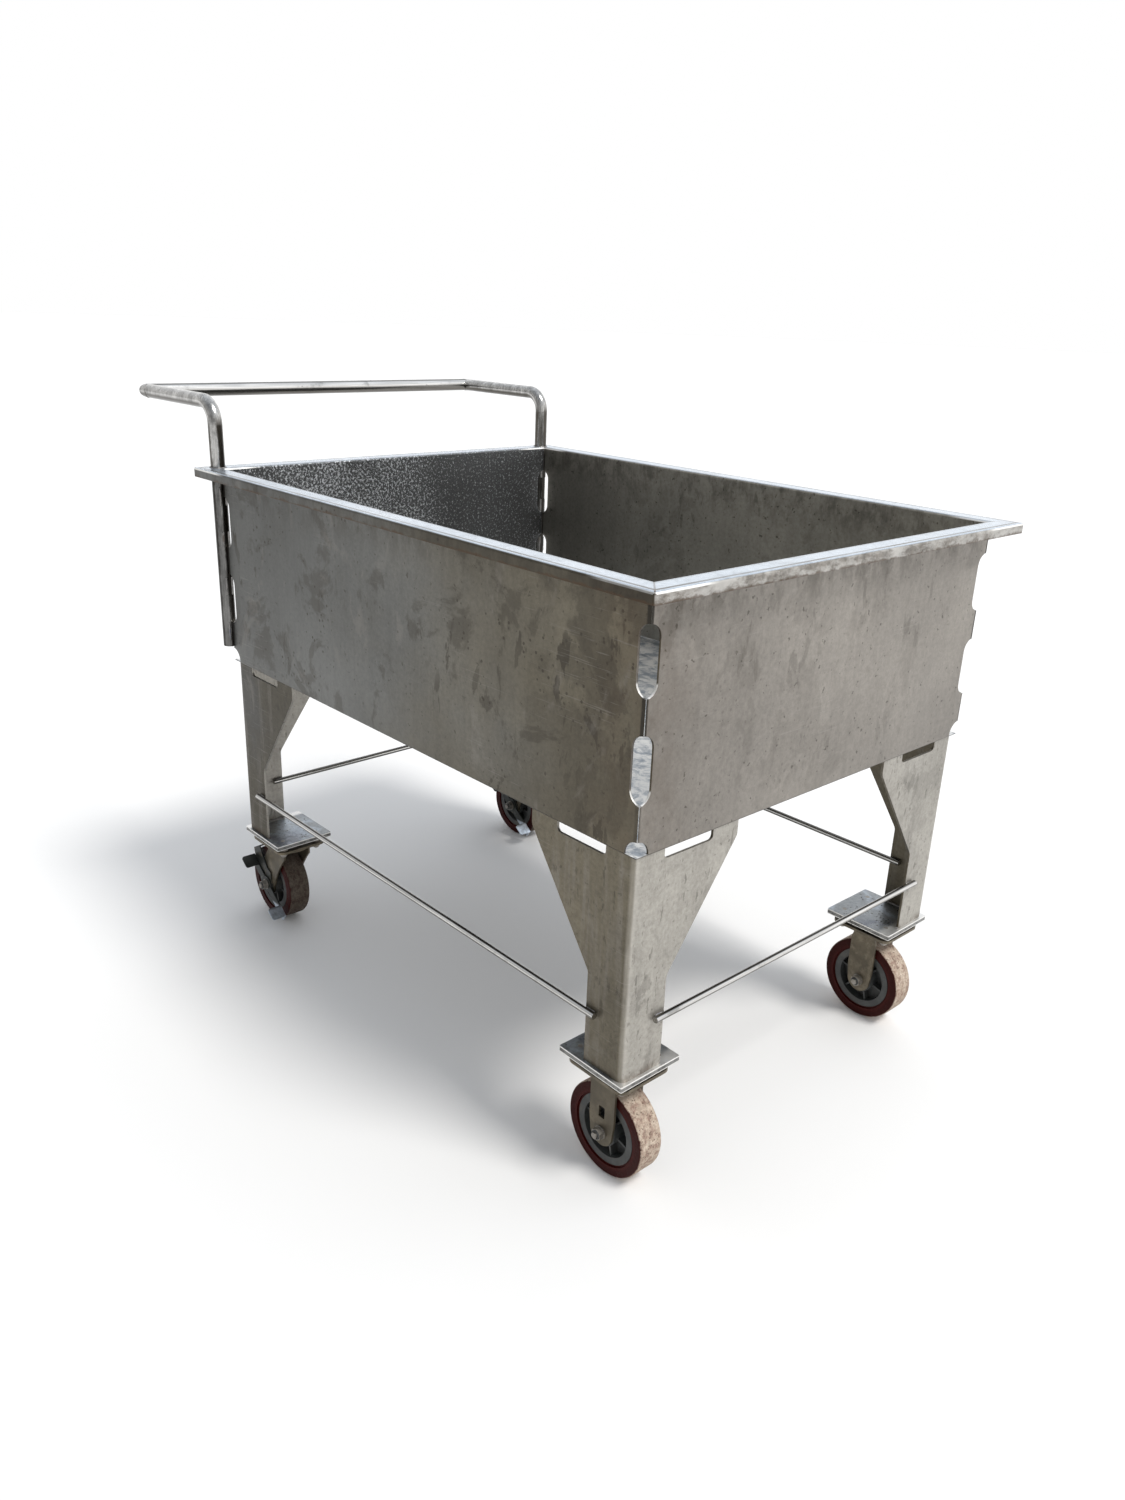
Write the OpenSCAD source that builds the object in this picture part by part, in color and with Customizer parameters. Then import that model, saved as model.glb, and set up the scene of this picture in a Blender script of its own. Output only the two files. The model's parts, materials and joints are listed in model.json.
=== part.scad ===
// Stainless steel tub trolley on four casters, with a push handle at the rear.
// +X is the front, -Y the near side and +Z up; the wheels stand on z = 0.
// All sizes are in millimetres.

/* [Tub] */
// Length of the tub over its end walls
tub_l = 1067; // [700:1:1400]
// Width of the tub over its side walls
tub_w = 764; // [560:1:1000]
// Height of the tub from the underside of its floor to the top of its rim
tub_h = 357; // [280:1:500]
// Thickness of the folded sheet
sheet_t = 3; // [2:0.5:3.5]
// Reach of the rim outwards from the wall
rim_w = 36; // [30:1:50]
// Height of the rim's turned-down lip
lip_h = 16; // [10:1:30]
// Outside radius of the sheet's bends
bend_r = 4; // [4:0.5:6]
// Radius of the rim's outer corners in plan
rim_corner_r = 4; // [1:0.5:10]

/* [Corner slots] */
// Height of each corner slot
slot_h = 93; // [60:1:100]
// Reach of the slots and of the bottom relief along each wall
slot_reach = 19; // [10:0.5:28]
// Height of the lower slot above the tub's underside
slot_low = 74; // [50:1:80]
// Height of plate left between the two slots of a corner
slot_gap = 47; // [20:1:60]
// Radius of the relief at the bottom of each corner
relief_r = 22; // [12:1:30]
// Width of the open seam between two walls
seam_gap = 1; // [0.5:0.1:1.5]

/* [Legs] */
// Height of the legs
leg_h = 345; // [260:1:450]
// Thickness of the bent leg plate
leg_t = 4; // [3:0.5:6]
// Outside radius of the bend down the leg
leg_bend_r = 12; // [8:1:20]
// Distance of the leg's faces inside the tub's walls
leg_inset = 4; // [4:0.5:8]
// Width of each leg flange below the flare
leg_w = 76; // [60:1:90]
// Width of each leg flange where it meets the tub
flare_w = 201; // [185:1:240]
// Height of the straight edge at the top of the flare
flare_edge = 24; // [18:1:40]
// Height of the sloping part of the flare
flare_h = 176; // [120:1:200]
// Distance of the top notch from the leg's corner
notch_from = 54; // [40:1:60]
// Length of the top notch
notch_l = 95; // [60:1:100]
// Depth of the top notch
notch_d = 16; // [8:1:16]

/* [Tie rods] */
// Diameter of the tie rods
rod_d = 10; // [6:0.5:14]
// Height of the tie rods' axes above the foot plates
rod_up = 85; // [60:1:120]
// Overlap of each tie rod on a leg flange
rod_lap = 22; // [15:1:40]

/* [Foot plates] */
// Length of a foot plate along the tub
foot_l = 127; // [122:1:150]
// Width of a foot plate across the tub
foot_w = 118; // [110:1:140]
// Thickness of a foot plate
foot_t = 9; // [6:0.5:12]
// Overhang of a foot plate outside the leg
foot_over = 5; // [2:0.5:10]

/* [Handle] */
// Outside diameter of the handle tube
tube_d = 25.4; // [20:0.1:28]
// Wall of the handle tube
tube_wall = 1.5; // [1:0.5:3]
// Distance of the uprights' axes inside the tub's side walls
upright_in = 0; // [0:1:150]
// Height of the handle's axis above the rim
handle_up = 112; // [80:1:200]
// Reach of the handle behind its uprights
handle_reach = 271; // [120:1:320]
// Radius of the handle's bends, on the tube's axis
handle_bend_r = 38; // [30:1:60]
// Height of the uprights' lower ends above the tub's underside
upright_low = 28; // [10:1:80]

/* [Casters] */
// Diameter of the wheels
wheel_d = 150; // [145:1:156]
// Width of the tyres
tyre_w = 44; // [36:1:46]
// Diameter of the hub under the tyre
hub_d = 111; // [100:1:116]
// Inside diameter of the hub's rim
hub_in_d = 88; // [80:1:92]
// Diameter of the hub's boss
boss_d = 48; // [40:1:54]
// Number of ribs on each side of the hub
hub_ribs = 6; // [4:1:10]
// Height of a caster's top face above its wheel
head_h = 35; // [34:1:55]
// Length of a caster's top plate along the tub
plate_l = 115; // [110:1:118]
// Width of a caster's top plate across the tub
plate_w = 102; // [98:1:106]
// Thickness of a caster's top plate
plate_t = 5; // [4:0.5:6]
// Spacing of the mounting studs along the tub
stud_l = 86; // [82:1:90]
// Spacing of the mounting studs across the tub
stud_w = 72; // [68:1:76]
// Diameter of the mounting studs
stud_d = 8; // [6:1:10]
// Height of the spacers between foot plate and caster
spacer_h = 10; // [2:0.5:14]
// Gap between a fork's legs
fork_gap = 50; // [48:0.5:54]
// Thickness of a fork's legs
fork_t = 4; // [3:0.5:5]
// Width of a front fork's legs
fork_w = 50; // [44:1:52]
// Diameter of the wheel bolts
axle_d = 10; // [8:1:12]
// Distance of a rear wheel's axis behind its swivel axis
trail = 40; // [30:1:42]
// Diameter of the swivel's kingpin
kingpin_d = 12; // [10:1:16]
// Radius of the ring of swivel balls
race_r = 29; // [26:0.5:31]
// Number of swivel balls in each caster
race_balls = 16; // [12:1:20]

/* [Brakes] */
// Slope of a brake lever at rest, in degrees
lever_slope = 38; // [30:1:45]
// Distance of the middle of the brake-on pad from the wheel's axis
pad_on_at = 56; // [50:1:62]
// Distance of the middle of the brake-off pad from the wheel's axis
pad_off_at = 70; // [60:1:74]
// Side of the square brake pads
pad_side = 26; // [20:1:28]
// Gap between a brake shoe and its tyre when released
shoe_gap = 2.3; // [2.2:0.1:4]

/* [Clearances] */
// Radial clearance of a shaft that turns in its hole
run_fit = 0.05; // [0.02:0.01:0.1]
// Gap between faces that slide past each other
face_gap = 0.3; // [0.2:0.05:0.5]
// Radial clearance of a bolt or tube in its hole
hole_fit = 0.5; // [0.1:0.1:1]

/* [Hidden] */
$fn = 64;
eps = 0.01;

// Heights of the stack, from the floor up
caster_h = wheel_d + head_h;
stud_foot_z = caster_h + spacer_h;
foot_top_z = stud_foot_z + foot_t;
tub_z = foot_top_z + leg_h;
rim_z = tub_z + tub_h;
rod_z = foot_top_z + rod_up;
axle_z = wheel_d / 2;

// The handle stands behind the tub, and the origin is under the middle of the whole length
upright_off = tube_d / 2 + face_gap;
reach_back = upright_off + handle_reach + tube_d / 2;
tub_x = (reach_back - rim_w) / 2;
rear_wall_x = tub_x - tub_l / 2;
upright_x = rear_wall_x - upright_off;
crossbar_x = upright_x - handle_reach;
upright_y = tub_w / 2 - upright_in;
handle_z = rim_z + handle_up;

// Outer corner of a leg, measured from the middle of the tub
leg_x = tub_l / 2 - leg_inset;
leg_y = tub_w / 2 - leg_inset;
// Middle of a foot plate, measured in from the leg's outer corner
foot_in_x = foot_l / 2 - foot_over;
foot_in_y = foot_w / 2 - foot_over;
// Middle of a caster, measured from the middle of the tub
caster_x = leg_x - foot_in_x;
caster_y = leg_y - foot_in_y;

// Legs
notch_r = 7;
flare_round_r = 14;

// Mounting hardware
nut_h = 6.5;
nut_flats = 13;
stud_tip = 3.5;
plate_r = 14;
spacer_d = 18;

// Wheel and axle hardware
tyre_edge_r = 3.5;
tyre_base_w = 38;
hub_rim_w = 40;
web_t = 6;
rib_t = 3;
rib_w = 32;
boss_gap = 0.5;
bearing_w = 11;
bearing_d = 35;
sleeve_d = 15;
washer_t = 2;
washer_d = 21;
axle_nut_h = 8;
axle_flats = 17;
axle_head_h = 6.5;
axle_tip = 4;
bolt_fit = 0.1;

// Forks
neck_w = 43;
neck_h = 13;
shoulder_h = 12;
fork_end_r = 22;
window_w = 12;
window_h = 19;
window_up = 35;
fork_y = fork_gap / 2 + fork_t;

// Swivel head, from the top plate down
ball_r = 3.5;
race_t = 4;
race_half_w = 9;
head_gap = 2;
crown_t = 5;
ball_z = caster_h - plate_t - race_t - head_gap / 2;
crown_top_z = ball_z - head_gap / 2;
crown_r = race_r + race_half_w + 3;
kingpin_head_d = 24;
kingpin_head_h = 6;
swivel_neck_w = 60;
fork_sweep_r = 225;

// Brakes
shoe_t = 2.5;
shoe_y = fork_y + face_gap;
lever_t = 3;
lever_w = 18;
lever_hub_r = 17;
lever_y = shoe_y + shoe_t + face_gap;
lever_out_y = lever_y + lever_t;
pad_t = 3;
pad_r = 5;
shoe_angle = 119;
shoe_span = 26;

// ---- shapes that repeat ----

// Quarter plane with a rounded corner at the origin, as far as reach along both axes
module corner_square(reach, r) {
    translate([r, 0]) square([reach - r, reach]);
    translate([0, r]) square([reach, reach - r]);
    translate([r, r]) circle(r);
}

// Rectangle on the origin with four rounded corners
module round_rect(l, w, r) {
    square([l - 2 * r, w], center = true);
    square([l, w - 2 * r], center = true);
    for (x = [-1, 1], y = [-1, 1])
        translate([x * (l / 2 - r), y * (w / 2 - r)]) circle(r);
}

// Upright section from z0 to z1, with rounded bottom edges of rb and rounded top edges of rt
module section(half, z0, z1, rb, rt) {
    translate([-half, z0 + rb]) square([2 * half, z1 - z0 - rb - rt]);
    translate([-half + rb, z0]) square([2 * (half - rb), rb + eps]);
    translate([-half + rt, z1 - rt - eps]) square([2 * (half - rt), rt + eps]);
    for (s = [-1, 1]) {
        translate([s * (half - rb), z0 + rb]) circle(rb);
        translate([s * (half - rt), z1 - rt]) circle(rt);
    }
}

// Section of the tub's hollow, whose sides flare out over the bend at the top
module hollow_section(half, z0, z1, rb, rt) {
    section(half, z0, z1 + 1, rb, eps);
    difference() {
        translate([-half - rt, z1 - rt]) square([2 * (half + rt), rt + 1]);
        for (s = [-1, 1]) translate([s * (half + rt), z1 - rt]) circle(rt);
    }
}

// What two upright sections, one along each plan axis, have in common
module crossed(l, w) {
    intersection() {
        rotate([90, 0, 0]) linear_extrude(w + 400, center = true) children(0);
        rotate([90, 0, 90]) linear_extrude(l + 400, center = true) children(1);
    }
}

// Stands its children at a corner, with +X and +Y turned to the middle of the tub.
// front and far are 1 for the front and far corners, and -1 for the others
module at_leg(front, far) {
    translate([tub_x + front * leg_x, far * leg_y, 0])
        mirror([front > 0 ? 1 : 0, 0, 0]) mirror([0, far > 0 ? 1 : 0, 0]) children();
}

module at_caster(front, far) {
    translate([tub_x + front * caster_x, far * caster_y, 0]) children();
}

// Rear wheel parts sit behind the swivel axis by the trail
module at_wheel(front, far) {
    at_caster(front, far) translate([front > 0 ? 0 : -trail, 0, axle_z]) children();
}

// Cylinder along Y, from y0 to y1
module bar_y(r, y0, y1) {
    translate([0, y0, 0]) rotate([-90, 0, 0]) cylinder(r = r, h = y1 - y0);
}

// Plate of thickness t drawn in X and Z, with its first face at y0
module plate_y(y0, t) {
    translate([0, y0 + t, 0]) rotate([90, 0, 0]) linear_extrude(t) children();
}

module hex_y(flats, y0, y1) {
    translate([0, y0, 0]) rotate([-90, 30, 0]) cylinder(d = flats / cos(30), h = y1 - y0, $fn = 6);
}

module at_studs() {
    for (x = [-1, 1], y = [-1, 1]) translate([x * stud_l / 2, y * stud_w / 2, 0]) children();
}

module all_studs() {
    for (front = [-1, 1], far = [-1, 1]) at_caster(front, far) at_studs() children();
}

// ---- tub ----

// Corner cuts in one wall, drawn with the corner line at x = 0 and the tub's underside at y = 0
module corner_cuts() {
    for (z = [slot_low, slot_low + slot_h + slot_gap]) {
        translate([-slot_reach, z + slot_reach]) square([2 * slot_reach, slot_h - 2 * slot_reach]);
        translate([0, z + slot_reach]) circle(slot_reach);
        translate([0, z + slot_h - slot_reach]) circle(slot_reach);
    }
    intersection() {
        translate([0, sheet_t]) circle(relief_r);
        translate([-relief_r, sheet_t]) square([2 * relief_r, relief_r]);
    }
}

module wall_cuts() {
    deep = sheet_t + 2;
    for (x = [-1, 1], y = [-1, 1]) {
        translate([x * tub_l / 2, y * (tub_w / 2 - deep / 2 + 1), 0])
            rotate([90, 0, 0]) linear_extrude(deep, center = true) corner_cuts();
        translate([x * (tub_l / 2 - deep / 2 + 1), y * tub_w / 2, 0])
            rotate([90, 0, 90]) linear_extrude(deep, center = true) corner_cuts();
        translate([x * tub_l / 2, y * tub_w / 2, tub_h / 2])
            rotate([0, 0, x * y * 45])
                cube([4 * sheet_t, seam_gap, tub_h - 2 * lip_h], center = true);
    }
}

module tub_shell() {
    half_l = tub_l / 2;
    half_w = tub_w / 2;
    in_r = bend_r - sheet_t + 0.5;
    lip_z = tub_h - lip_h;
    color("silver") translate([tub_x, 0, tub_z]) difference() {
        union() {
            crossed(tub_l, tub_w) {
                section(half_l, 0, tub_h - 1, bend_r, eps);
                section(half_w, 0, tub_h - 1, bend_r, eps);
            }
            intersection() {
                crossed(tub_l, tub_w) {
                    section(half_l + rim_w, lip_z, tub_h, eps, bend_r);
                    section(half_w + rim_w, lip_z, tub_h, eps, bend_r);
                }
                linear_extrude(tub_h + 1)
                    round_rect(tub_l + 2 * rim_w, tub_w + 2 * rim_w, rim_corner_r);
            }
        }
        difference() {
            crossed(tub_l, tub_w) {
                section(half_l + rim_w - sheet_t, lip_z - 1, tub_h - sheet_t, eps, in_r);
                section(half_w + rim_w - sheet_t, lip_z - 1, tub_h - sheet_t, eps, in_r);
            }
            translate([-half_l, -half_w, 0]) cube([tub_l, tub_w, tub_h]);
        }
        crossed(tub_l, tub_w) {
            hollow_section(half_l - sheet_t, sheet_t, tub_h, in_r, bend_r);
            hollow_section(half_w - sheet_t, sheet_t, tub_h, in_r, bend_r);
        }
        wall_cuts();
        for (y = [-1, 1])
            translate([upright_x - tub_x, y * upright_y, lip_z])
                cylinder(d = tube_d + 2 * hole_fit, h = lip_h + 1);
    }
}

// ---- handle ----

// Cuts what lies behind the slanted line through the handle's corner at far = -1 or 1
module mitre_cut(far, behind) {
    size = 4 * tube_d;
    translate([crossbar_x, far * upright_y, handle_z])
        rotate([0, 0, far * 45])
            translate([behind ? -size : 0, -size, -size / 2]) cube([size, 2 * size, size]);
}

// One bent side of the handle, drawn as a rod of radius r
module handle_bend(far, r) {
    low = tub_z + upright_low;
    y = far * upright_y;
    translate([upright_x, y, low]) cylinder(r = r, h = handle_z - handle_bend_r - low);
    translate([upright_x - handle_bend_r, y, handle_z - handle_bend_r])
        rotate([90, 0, 0]) rotate_extrude(angle = 90) translate([handle_bend_r, 0]) circle(r);
    translate([upright_x - handle_bend_r, y, handle_z])
        rotate([0, -90, 0]) cylinder(r = r, h = handle_reach - handle_bend_r + tube_d);
}

module handle_side(far) {
    color("gainsboro") difference() {
        handle_bend(far, tube_d / 2);
        difference() {
            handle_bend(far, tube_d / 2 - tube_wall);
            translate([upright_x, far * upright_y, tub_z + upright_low - 1])
                cylinder(d = tube_d, h = 1);
        }
        mitre_cut(far, true);
    }
}

module handle_crossbar() {
    reach = upright_y + tube_d;
    color("gainsboro") difference() {
        translate([crossbar_x, 0, handle_z]) difference() {
            bar_y(tube_d / 2, -reach, reach);
            bar_y(tube_d / 2 - tube_wall, -reach - 1, reach + 1);
        }
        mitre_cut(-1, false);
        mitre_cut(1, false);
    }
}

// ---- legs, foot plates and tie rods ----

// Outline of a leg flange, with the leg's corner along x = 0 and its foot at y = 0
module leg_outline() {
    neck_z = leg_h - flare_edge - flare_h;
    edge_z = leg_h - flare_edge;
    slope = atan2(flare_w - leg_w, flare_h);
    back = flare_round_r * tan(slope / 2);
    difference() {
        polygon([[0, 0], [leg_w, 0], [leg_w, neck_z], [flare_w, edge_z],
            [flare_w, leg_h], [0, leg_h]]);
        // rounds the corner under the flare's straight edge
        difference() {
            polygon([[flare_w + 1, edge_z + back], [flare_w - flare_round_r, edge_z + back],
                [flare_w - back * sin(slope), edge_z - back * cos(slope)], [flare_w + 1, edge_z - back]]);
            translate([flare_w - flare_round_r, edge_z + back]) circle(flare_round_r);
        }
        translate([notch_from, leg_h - notch_d]) {
            translate([notch_r, 0]) square([notch_l - 2 * notch_r, notch_d + 1]);
            translate([0, notch_r]) square([notch_l, notch_d]);
            for (x = [notch_r, notch_l - notch_r]) translate([x, notch_r]) circle(notch_r);
        }
    }
    // fills the inside of the bend at the neck
    difference() {
        polygon([[leg_w - 1, neck_z - back], [leg_w, neck_z - back],
            [leg_w + back * sin(slope), neck_z + back * cos(slope)], [leg_w - 1, neck_z + back]]);
        translate([leg_w + flare_round_r, neck_z - back]) circle(flare_round_r);
    }
}

module leg(front, far) {
    color("darkgray") at_leg(front, far) translate([0, 0, foot_top_z]) intersection() {
        linear_extrude(leg_h) difference() {
            corner_square(flare_w + 1, leg_bend_r);
            translate([leg_t, leg_t]) corner_square(flare_w + 1, leg_bend_r - leg_t);
        }
        rotate([90, 0, 0]) translate([0, 0, -flare_w - 2]) linear_extrude(flare_w + 4) leg_outline();
        mirror([1, -1, 0]) rotate([90, 0, 0])
            translate([0, 0, -flare_w - 2]) linear_extrude(flare_w + 4) leg_outline();
    }
}

module foot_plate(front, far) {
    color("lightsteelblue") difference() {
        at_caster(front, far) translate([0, 0, stud_foot_z])
            linear_extrude(foot_t) round_rect(foot_l, foot_w, 2);
        at_caster(front, far) at_studs()
            translate([0, 0, stud_foot_z - 1]) cylinder(d = stud_d + 2 * bolt_fit, h = foot_t + 2);
    }
}

// The near and front rods lie outside the leg flanges, and the far and rear rods inside
module tie_rod_long(far, outside) {
    y = far * (leg_y + (outside ? rod_d / 2 : -leg_t - rod_d / 2));
    half = leg_x - leg_w + rod_lap;
    color("silver") translate([tub_x - half, y, rod_z])
        rotate([0, 90, 0]) cylinder(d = rod_d, h = 2 * half);
}

module tie_rod_cross(front, outside) {
    x = front * (leg_x + (outside ? rod_d / 2 : -leg_t - rod_d / 2));
    half = leg_y - leg_w + rod_lap;
    color("silver") translate([tub_x + x, 0, rod_z]) bar_y(rod_d / 2, -half, half);
}

// ---- caster fastening ----

module mounting_studs() {
    low = caster_h - plate_t - nut_h - stud_tip;
    color("lightgray") all_studs() translate([0, 0, low]) {
        cylinder(d1 = stud_d - 2, d2 = stud_d, h = 1);
        translate([0, 0, 1]) cylinder(d = stud_d, h = foot_top_z - low - 1);
    }
}

module mounting_nuts() {
    color("gray") all_studs() translate([0, 0, caster_h - plate_t - nut_h]) difference() {
        cylinder(d = nut_flats / cos(30), h = nut_h, $fn = 6);
        translate([0, 0, -1]) cylinder(d = stud_d + 2 * bolt_fit, h = nut_h + 2);
    }
}

module plate_spacers() {
    color("gray") all_studs() translate([0, 0, caster_h]) difference() {
        cylinder(d = spacer_d, h = spacer_h);
        translate([0, 0, -1]) cylinder(d = stud_d + 2 * bolt_fit, h = spacer_h + 2);
    }
}

module plate_blank() {
    difference() {
        translate([0, 0, caster_h - plate_t])
            linear_extrude(plate_t) round_rect(plate_l, plate_w, plate_r);
        at_studs() translate([0, 0, caster_h - plate_t - 1])
            cylinder(d = stud_d + 2 * hole_fit, h = plate_t + 2);
    }
}

module top_plate_front(far) {
    color("silver") at_caster(1, far) plate_blank();
}

// Ring of grooves that the swivel balls run in
module ball_groove() {
    translate([0, 0, ball_z]) rotate_extrude()
        translate([race_r, 0]) circle(ball_r + run_fit, $fn = 32);
}

module top_plate_rear(far) {
    color("silver") at_caster(-1, far) difference() {
        union() {
            plate_blank();
            translate([0, 0, caster_h - plate_t - race_t])
                cylinder(r = race_r + race_half_w, h = race_t + eps);
        }
        ball_groove();
        translate([0, 0, ball_z]) cylinder(d = kingpin_d + 2 * bolt_fit, h = 30);
    }
}

module kingpin(far) {
    low = crown_top_z - crown_t - face_gap;
    color("gray") at_caster(-1, far) {
        translate([0, 0, low - eps]) cylinder(d = kingpin_d, h = caster_h - low);
        translate([0, 0, low - kingpin_head_h]) cylinder(d = kingpin_head_d, h = kingpin_head_h);
    }
}

module swivel_balls(far) {
    color("white") at_caster(-1, far) for (i = [0 : race_balls - 1])
        rotate([0, 0, i * 360 / race_balls]) translate([race_r, 0, ball_z]) sphere(ball_r, $fn = 24);
}

// ---- forks ----

// Outline of a front fork's leg, with the axle at x = 0 and true heights
module fork_front_outline() {
    top = caster_h - plate_t;
    low = axle_z + fork_end_r;
    for (s = [0, 1]) mirror([s, 0])
        polygon([[0, axle_z], [fork_end_r, axle_z], [fork_w / 2, low],
            [fork_w / 2, top - neck_h - shoulder_h], [neck_w / 2, top - neck_h],
            [neck_w / 2, top], [0, top]]);
    translate([0, axle_z]) circle(fork_end_r);
}

// Outline of a rear fork's leg, with the swivel axis at x = 0
module fork_rear_outline() {
    half = swivel_neck_w / 2;
    neck_z = crown_top_z - 12;
    difference() {
        polygon([[-trail - fork_end_r, axle_z], [-trail, axle_z], [fork_end_r - trail, axle_z],
            [half, neck_z - 8], [half, crown_top_z], [-half, crown_top_z], [-half, neck_z],
            [-half - 18, neck_z - 26], [-trail - fork_end_r, axle_z + 32]]);
        // sweeps the front edge back to the axle
        translate(sweep_centre(fork_sweep_r, [fork_end_r - trail, axle_z], [half, neck_z - 8]))
            circle(fork_sweep_r, $fn = 256);
    }
    translate([-trail, axle_z]) circle(fork_end_r);
}

// Centre of the circle of radius r through two points, on the side to the right of a to b
function sweep_centre(r, a, b) =
    let (mid = (a + b) / 2, d = b - a, half = norm(d) / 2)
    mid + [d[1], -d[0]] / norm(d) * sqrt(r * r - half * half);

// Two fork legs of one outline, with the hole for the axle bolt at x
module fork_legs(x) {
    difference() {
        for (s = [-1, 1]) plate_y(s > 0 ? fork_gap / 2 : -fork_y, fork_t) children();
        translate([x, 0, axle_z]) bar_y(axle_d / 2 + bolt_fit, -fork_y - 1, fork_y + 1);
    }
}

module fork_front(far) {
    top = caster_h - plate_t;
    window_from = far > 0 ? fork_gap / 2 - 1 : -fork_y - 1;
    color("darkgray") at_caster(1, far) difference() {
        union() {
            fork_legs(0) fork_front_outline();
            translate([-neck_w / 2, -fork_y, top - fork_t]) cube([neck_w, 2 * fork_y, fork_t]);
        }
        translate([-window_w / 2, window_from, axle_z + window_up - window_h / 2])
            cube([window_w, fork_t + 2, window_h]);
    }
}

module fork_rear(far) {
    color("darkgray") at_caster(-1, far) difference() {
        union() {
            fork_legs(-trail) fork_rear_outline();
            translate([0, 0, crown_top_z - crown_t]) cylinder(r = crown_r, h = crown_t);
        }
        ball_groove();
        translate([0, 0, crown_top_z - crown_t - 1])
            cylinder(d = kingpin_d + 2 * run_fit, h = crown_t + 2);
    }
}

// ---- wheel bolts ----

// Outer face of what the axle nut bears on: the fork, or the brake lever over it
function nut_face(front) = front > 0 ? fork_y : lever_out_y;

module axle_bolt(front, far) {
    near_end = -nut_face(front) - washer_t - axle_nut_h - axle_tip;
    color("lightgray") at_wheel(front, far) {
        bar_y(axle_d / 2, near_end, fork_y + washer_t + axle_head_h / 2);
        hex_y(axle_flats, fork_y + washer_t, fork_y + washer_t + axle_head_h);
    }
}

module axle_nut(front, far) {
    face = nut_face(front) + (front > 0 ? 0 : face_gap);
    bore = axle_d / 2 + bolt_fit;
    color("lightgray") at_wheel(front, far) {
        difference() {
            hex_y(axle_flats, -face - washer_t - axle_nut_h, -face - washer_t);
            bar_y(bore, -face - washer_t - axle_nut_h - 1, -face);
        }
        difference() {
            bar_y(washer_d / 2, -face - washer_t, -face);
            bar_y(bore, -face - washer_t - 1, -face + 1);
        }
        difference() {
            bar_y(washer_d / 2, fork_y, fork_y + washer_t);
            bar_y(bore, fork_y - 1, fork_y + washer_t + 1);
        }
    }
}

module axle_sleeve(front, far) {
    color("dimgray") at_wheel(front, far) difference() {
        bar_y(sleeve_d / 2, -fork_gap / 2, fork_gap / 2);
        bar_y(axle_d / 2 + bolt_fit, -fork_gap / 2 - 1, fork_gap / 2 + 1);
    }
}

// ---- wheels ----

// Section turned about the wheel's axis: distance from the axis against place along it
module turned() {
    rotate([90, 0, 0]) rotate_extrude($fn = 128) children();
}

module tyre(front, far) {
    out = wheel_d / 2;
    in = hub_d / 2;
    wide = tyre_w / 2;
    color("saddlebrown") at_wheel(front, far) turned() {
        translate([in, -tyre_base_w / 2]) square([out - in - tyre_edge_r, tyre_base_w]);
        translate([in + 3, -wide]) square([out - in - 3 - tyre_edge_r, tyre_w]);
        translate([in, -wide + tyre_edge_r]) square([out - in, tyre_w - 2 * tyre_edge_r]);
        for (s = [-1, 1])
            translate([out - tyre_edge_r, s * (wide - tyre_edge_r)]) circle(tyre_edge_r);
    }
}

module hub(front, far) {
    boss_w = fork_gap - 2 * boss_gap;
    rib_l = hub_in_d / 2 - boss_d / 2 + 2;
    color("dimgray") at_wheel(front, far) difference() {
        union() {
            turned() {
                translate([hub_in_d / 2, -hub_rim_w / 2]) square([(hub_d - hub_in_d) / 2, hub_rim_w]);
                translate([0, -web_t / 2]) square([hub_in_d / 2 + 1, web_t]);
                translate([0, -boss_w / 2]) square([boss_d / 2, boss_w]);
            }
            for (i = [0 : hub_ribs - 1])
                rotate([0, i * 360 / hub_ribs + 15, 0])
                    translate([boss_d / 2 - 1, -rib_w / 2, -rib_t / 2]) cube([rib_l, rib_w, rib_t]);
        }
        bar_y(sleeve_d / 2 + 1, -boss_w, boss_w);
        bar_y(bearing_d / 2, -boss_w, -boss_w / 2 + bearing_w);
        bar_y(bearing_d / 2, boss_w / 2 - bearing_w, boss_w);
    }
}

module bearings(front, far) {
    end = fork_gap / 2 - boss_gap;
    groove_r = (bearing_d + sleeve_d) / 4;
    color("lightgray") at_wheel(front, far) for (s = [0, 1]) mirror([0, s, 0]) difference() {
        bar_y(bearing_d / 2, end - bearing_w, end);
        bar_y(sleeve_d / 2 + run_fit, end - bearing_w - 1, end + 1);
        translate([0, end - 1, 0]) difference() {
            bar_y(groove_r + 4, 0, 2);
            bar_y(groove_r - 4, -1, 3);
        }
    }
}

// ---- brakes ----

// The lever is a bar across the near side of the wheel, with a foot pad folded out at each end.
// It is drawn level here, with the brake-off pad towards +X, and slopes down to the front
module brake_lever(far) {
    on_end = -pad_on_at - pad_side / 2;
    off_end = pad_off_at + pad_side / 2;
    color("darkslategray") at_wheel(-1, far) rotate([0, lever_slope, 0]) {
        difference() {
            plate_y(-lever_out_y, lever_t) {
                translate([on_end, -lever_w / 2]) square([off_end - on_end, lever_w]);
                circle(lever_hub_r);
            }
            bar_y(axle_d / 2 + run_fit, -lever_out_y - 1, -lever_y + 1);
        }
        for (x = [-pad_on_at, pad_off_at])
            translate([x, -lever_out_y - pad_side / 2 + eps, lever_w / 2 - pad_t])
                linear_extrude(pad_t) {
                    round_rect(pad_side, pad_side, pad_r);
                    translate([-pad_side / 2, 0]) square([pad_side, pad_side / 2]);
                }
    }
}

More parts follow.
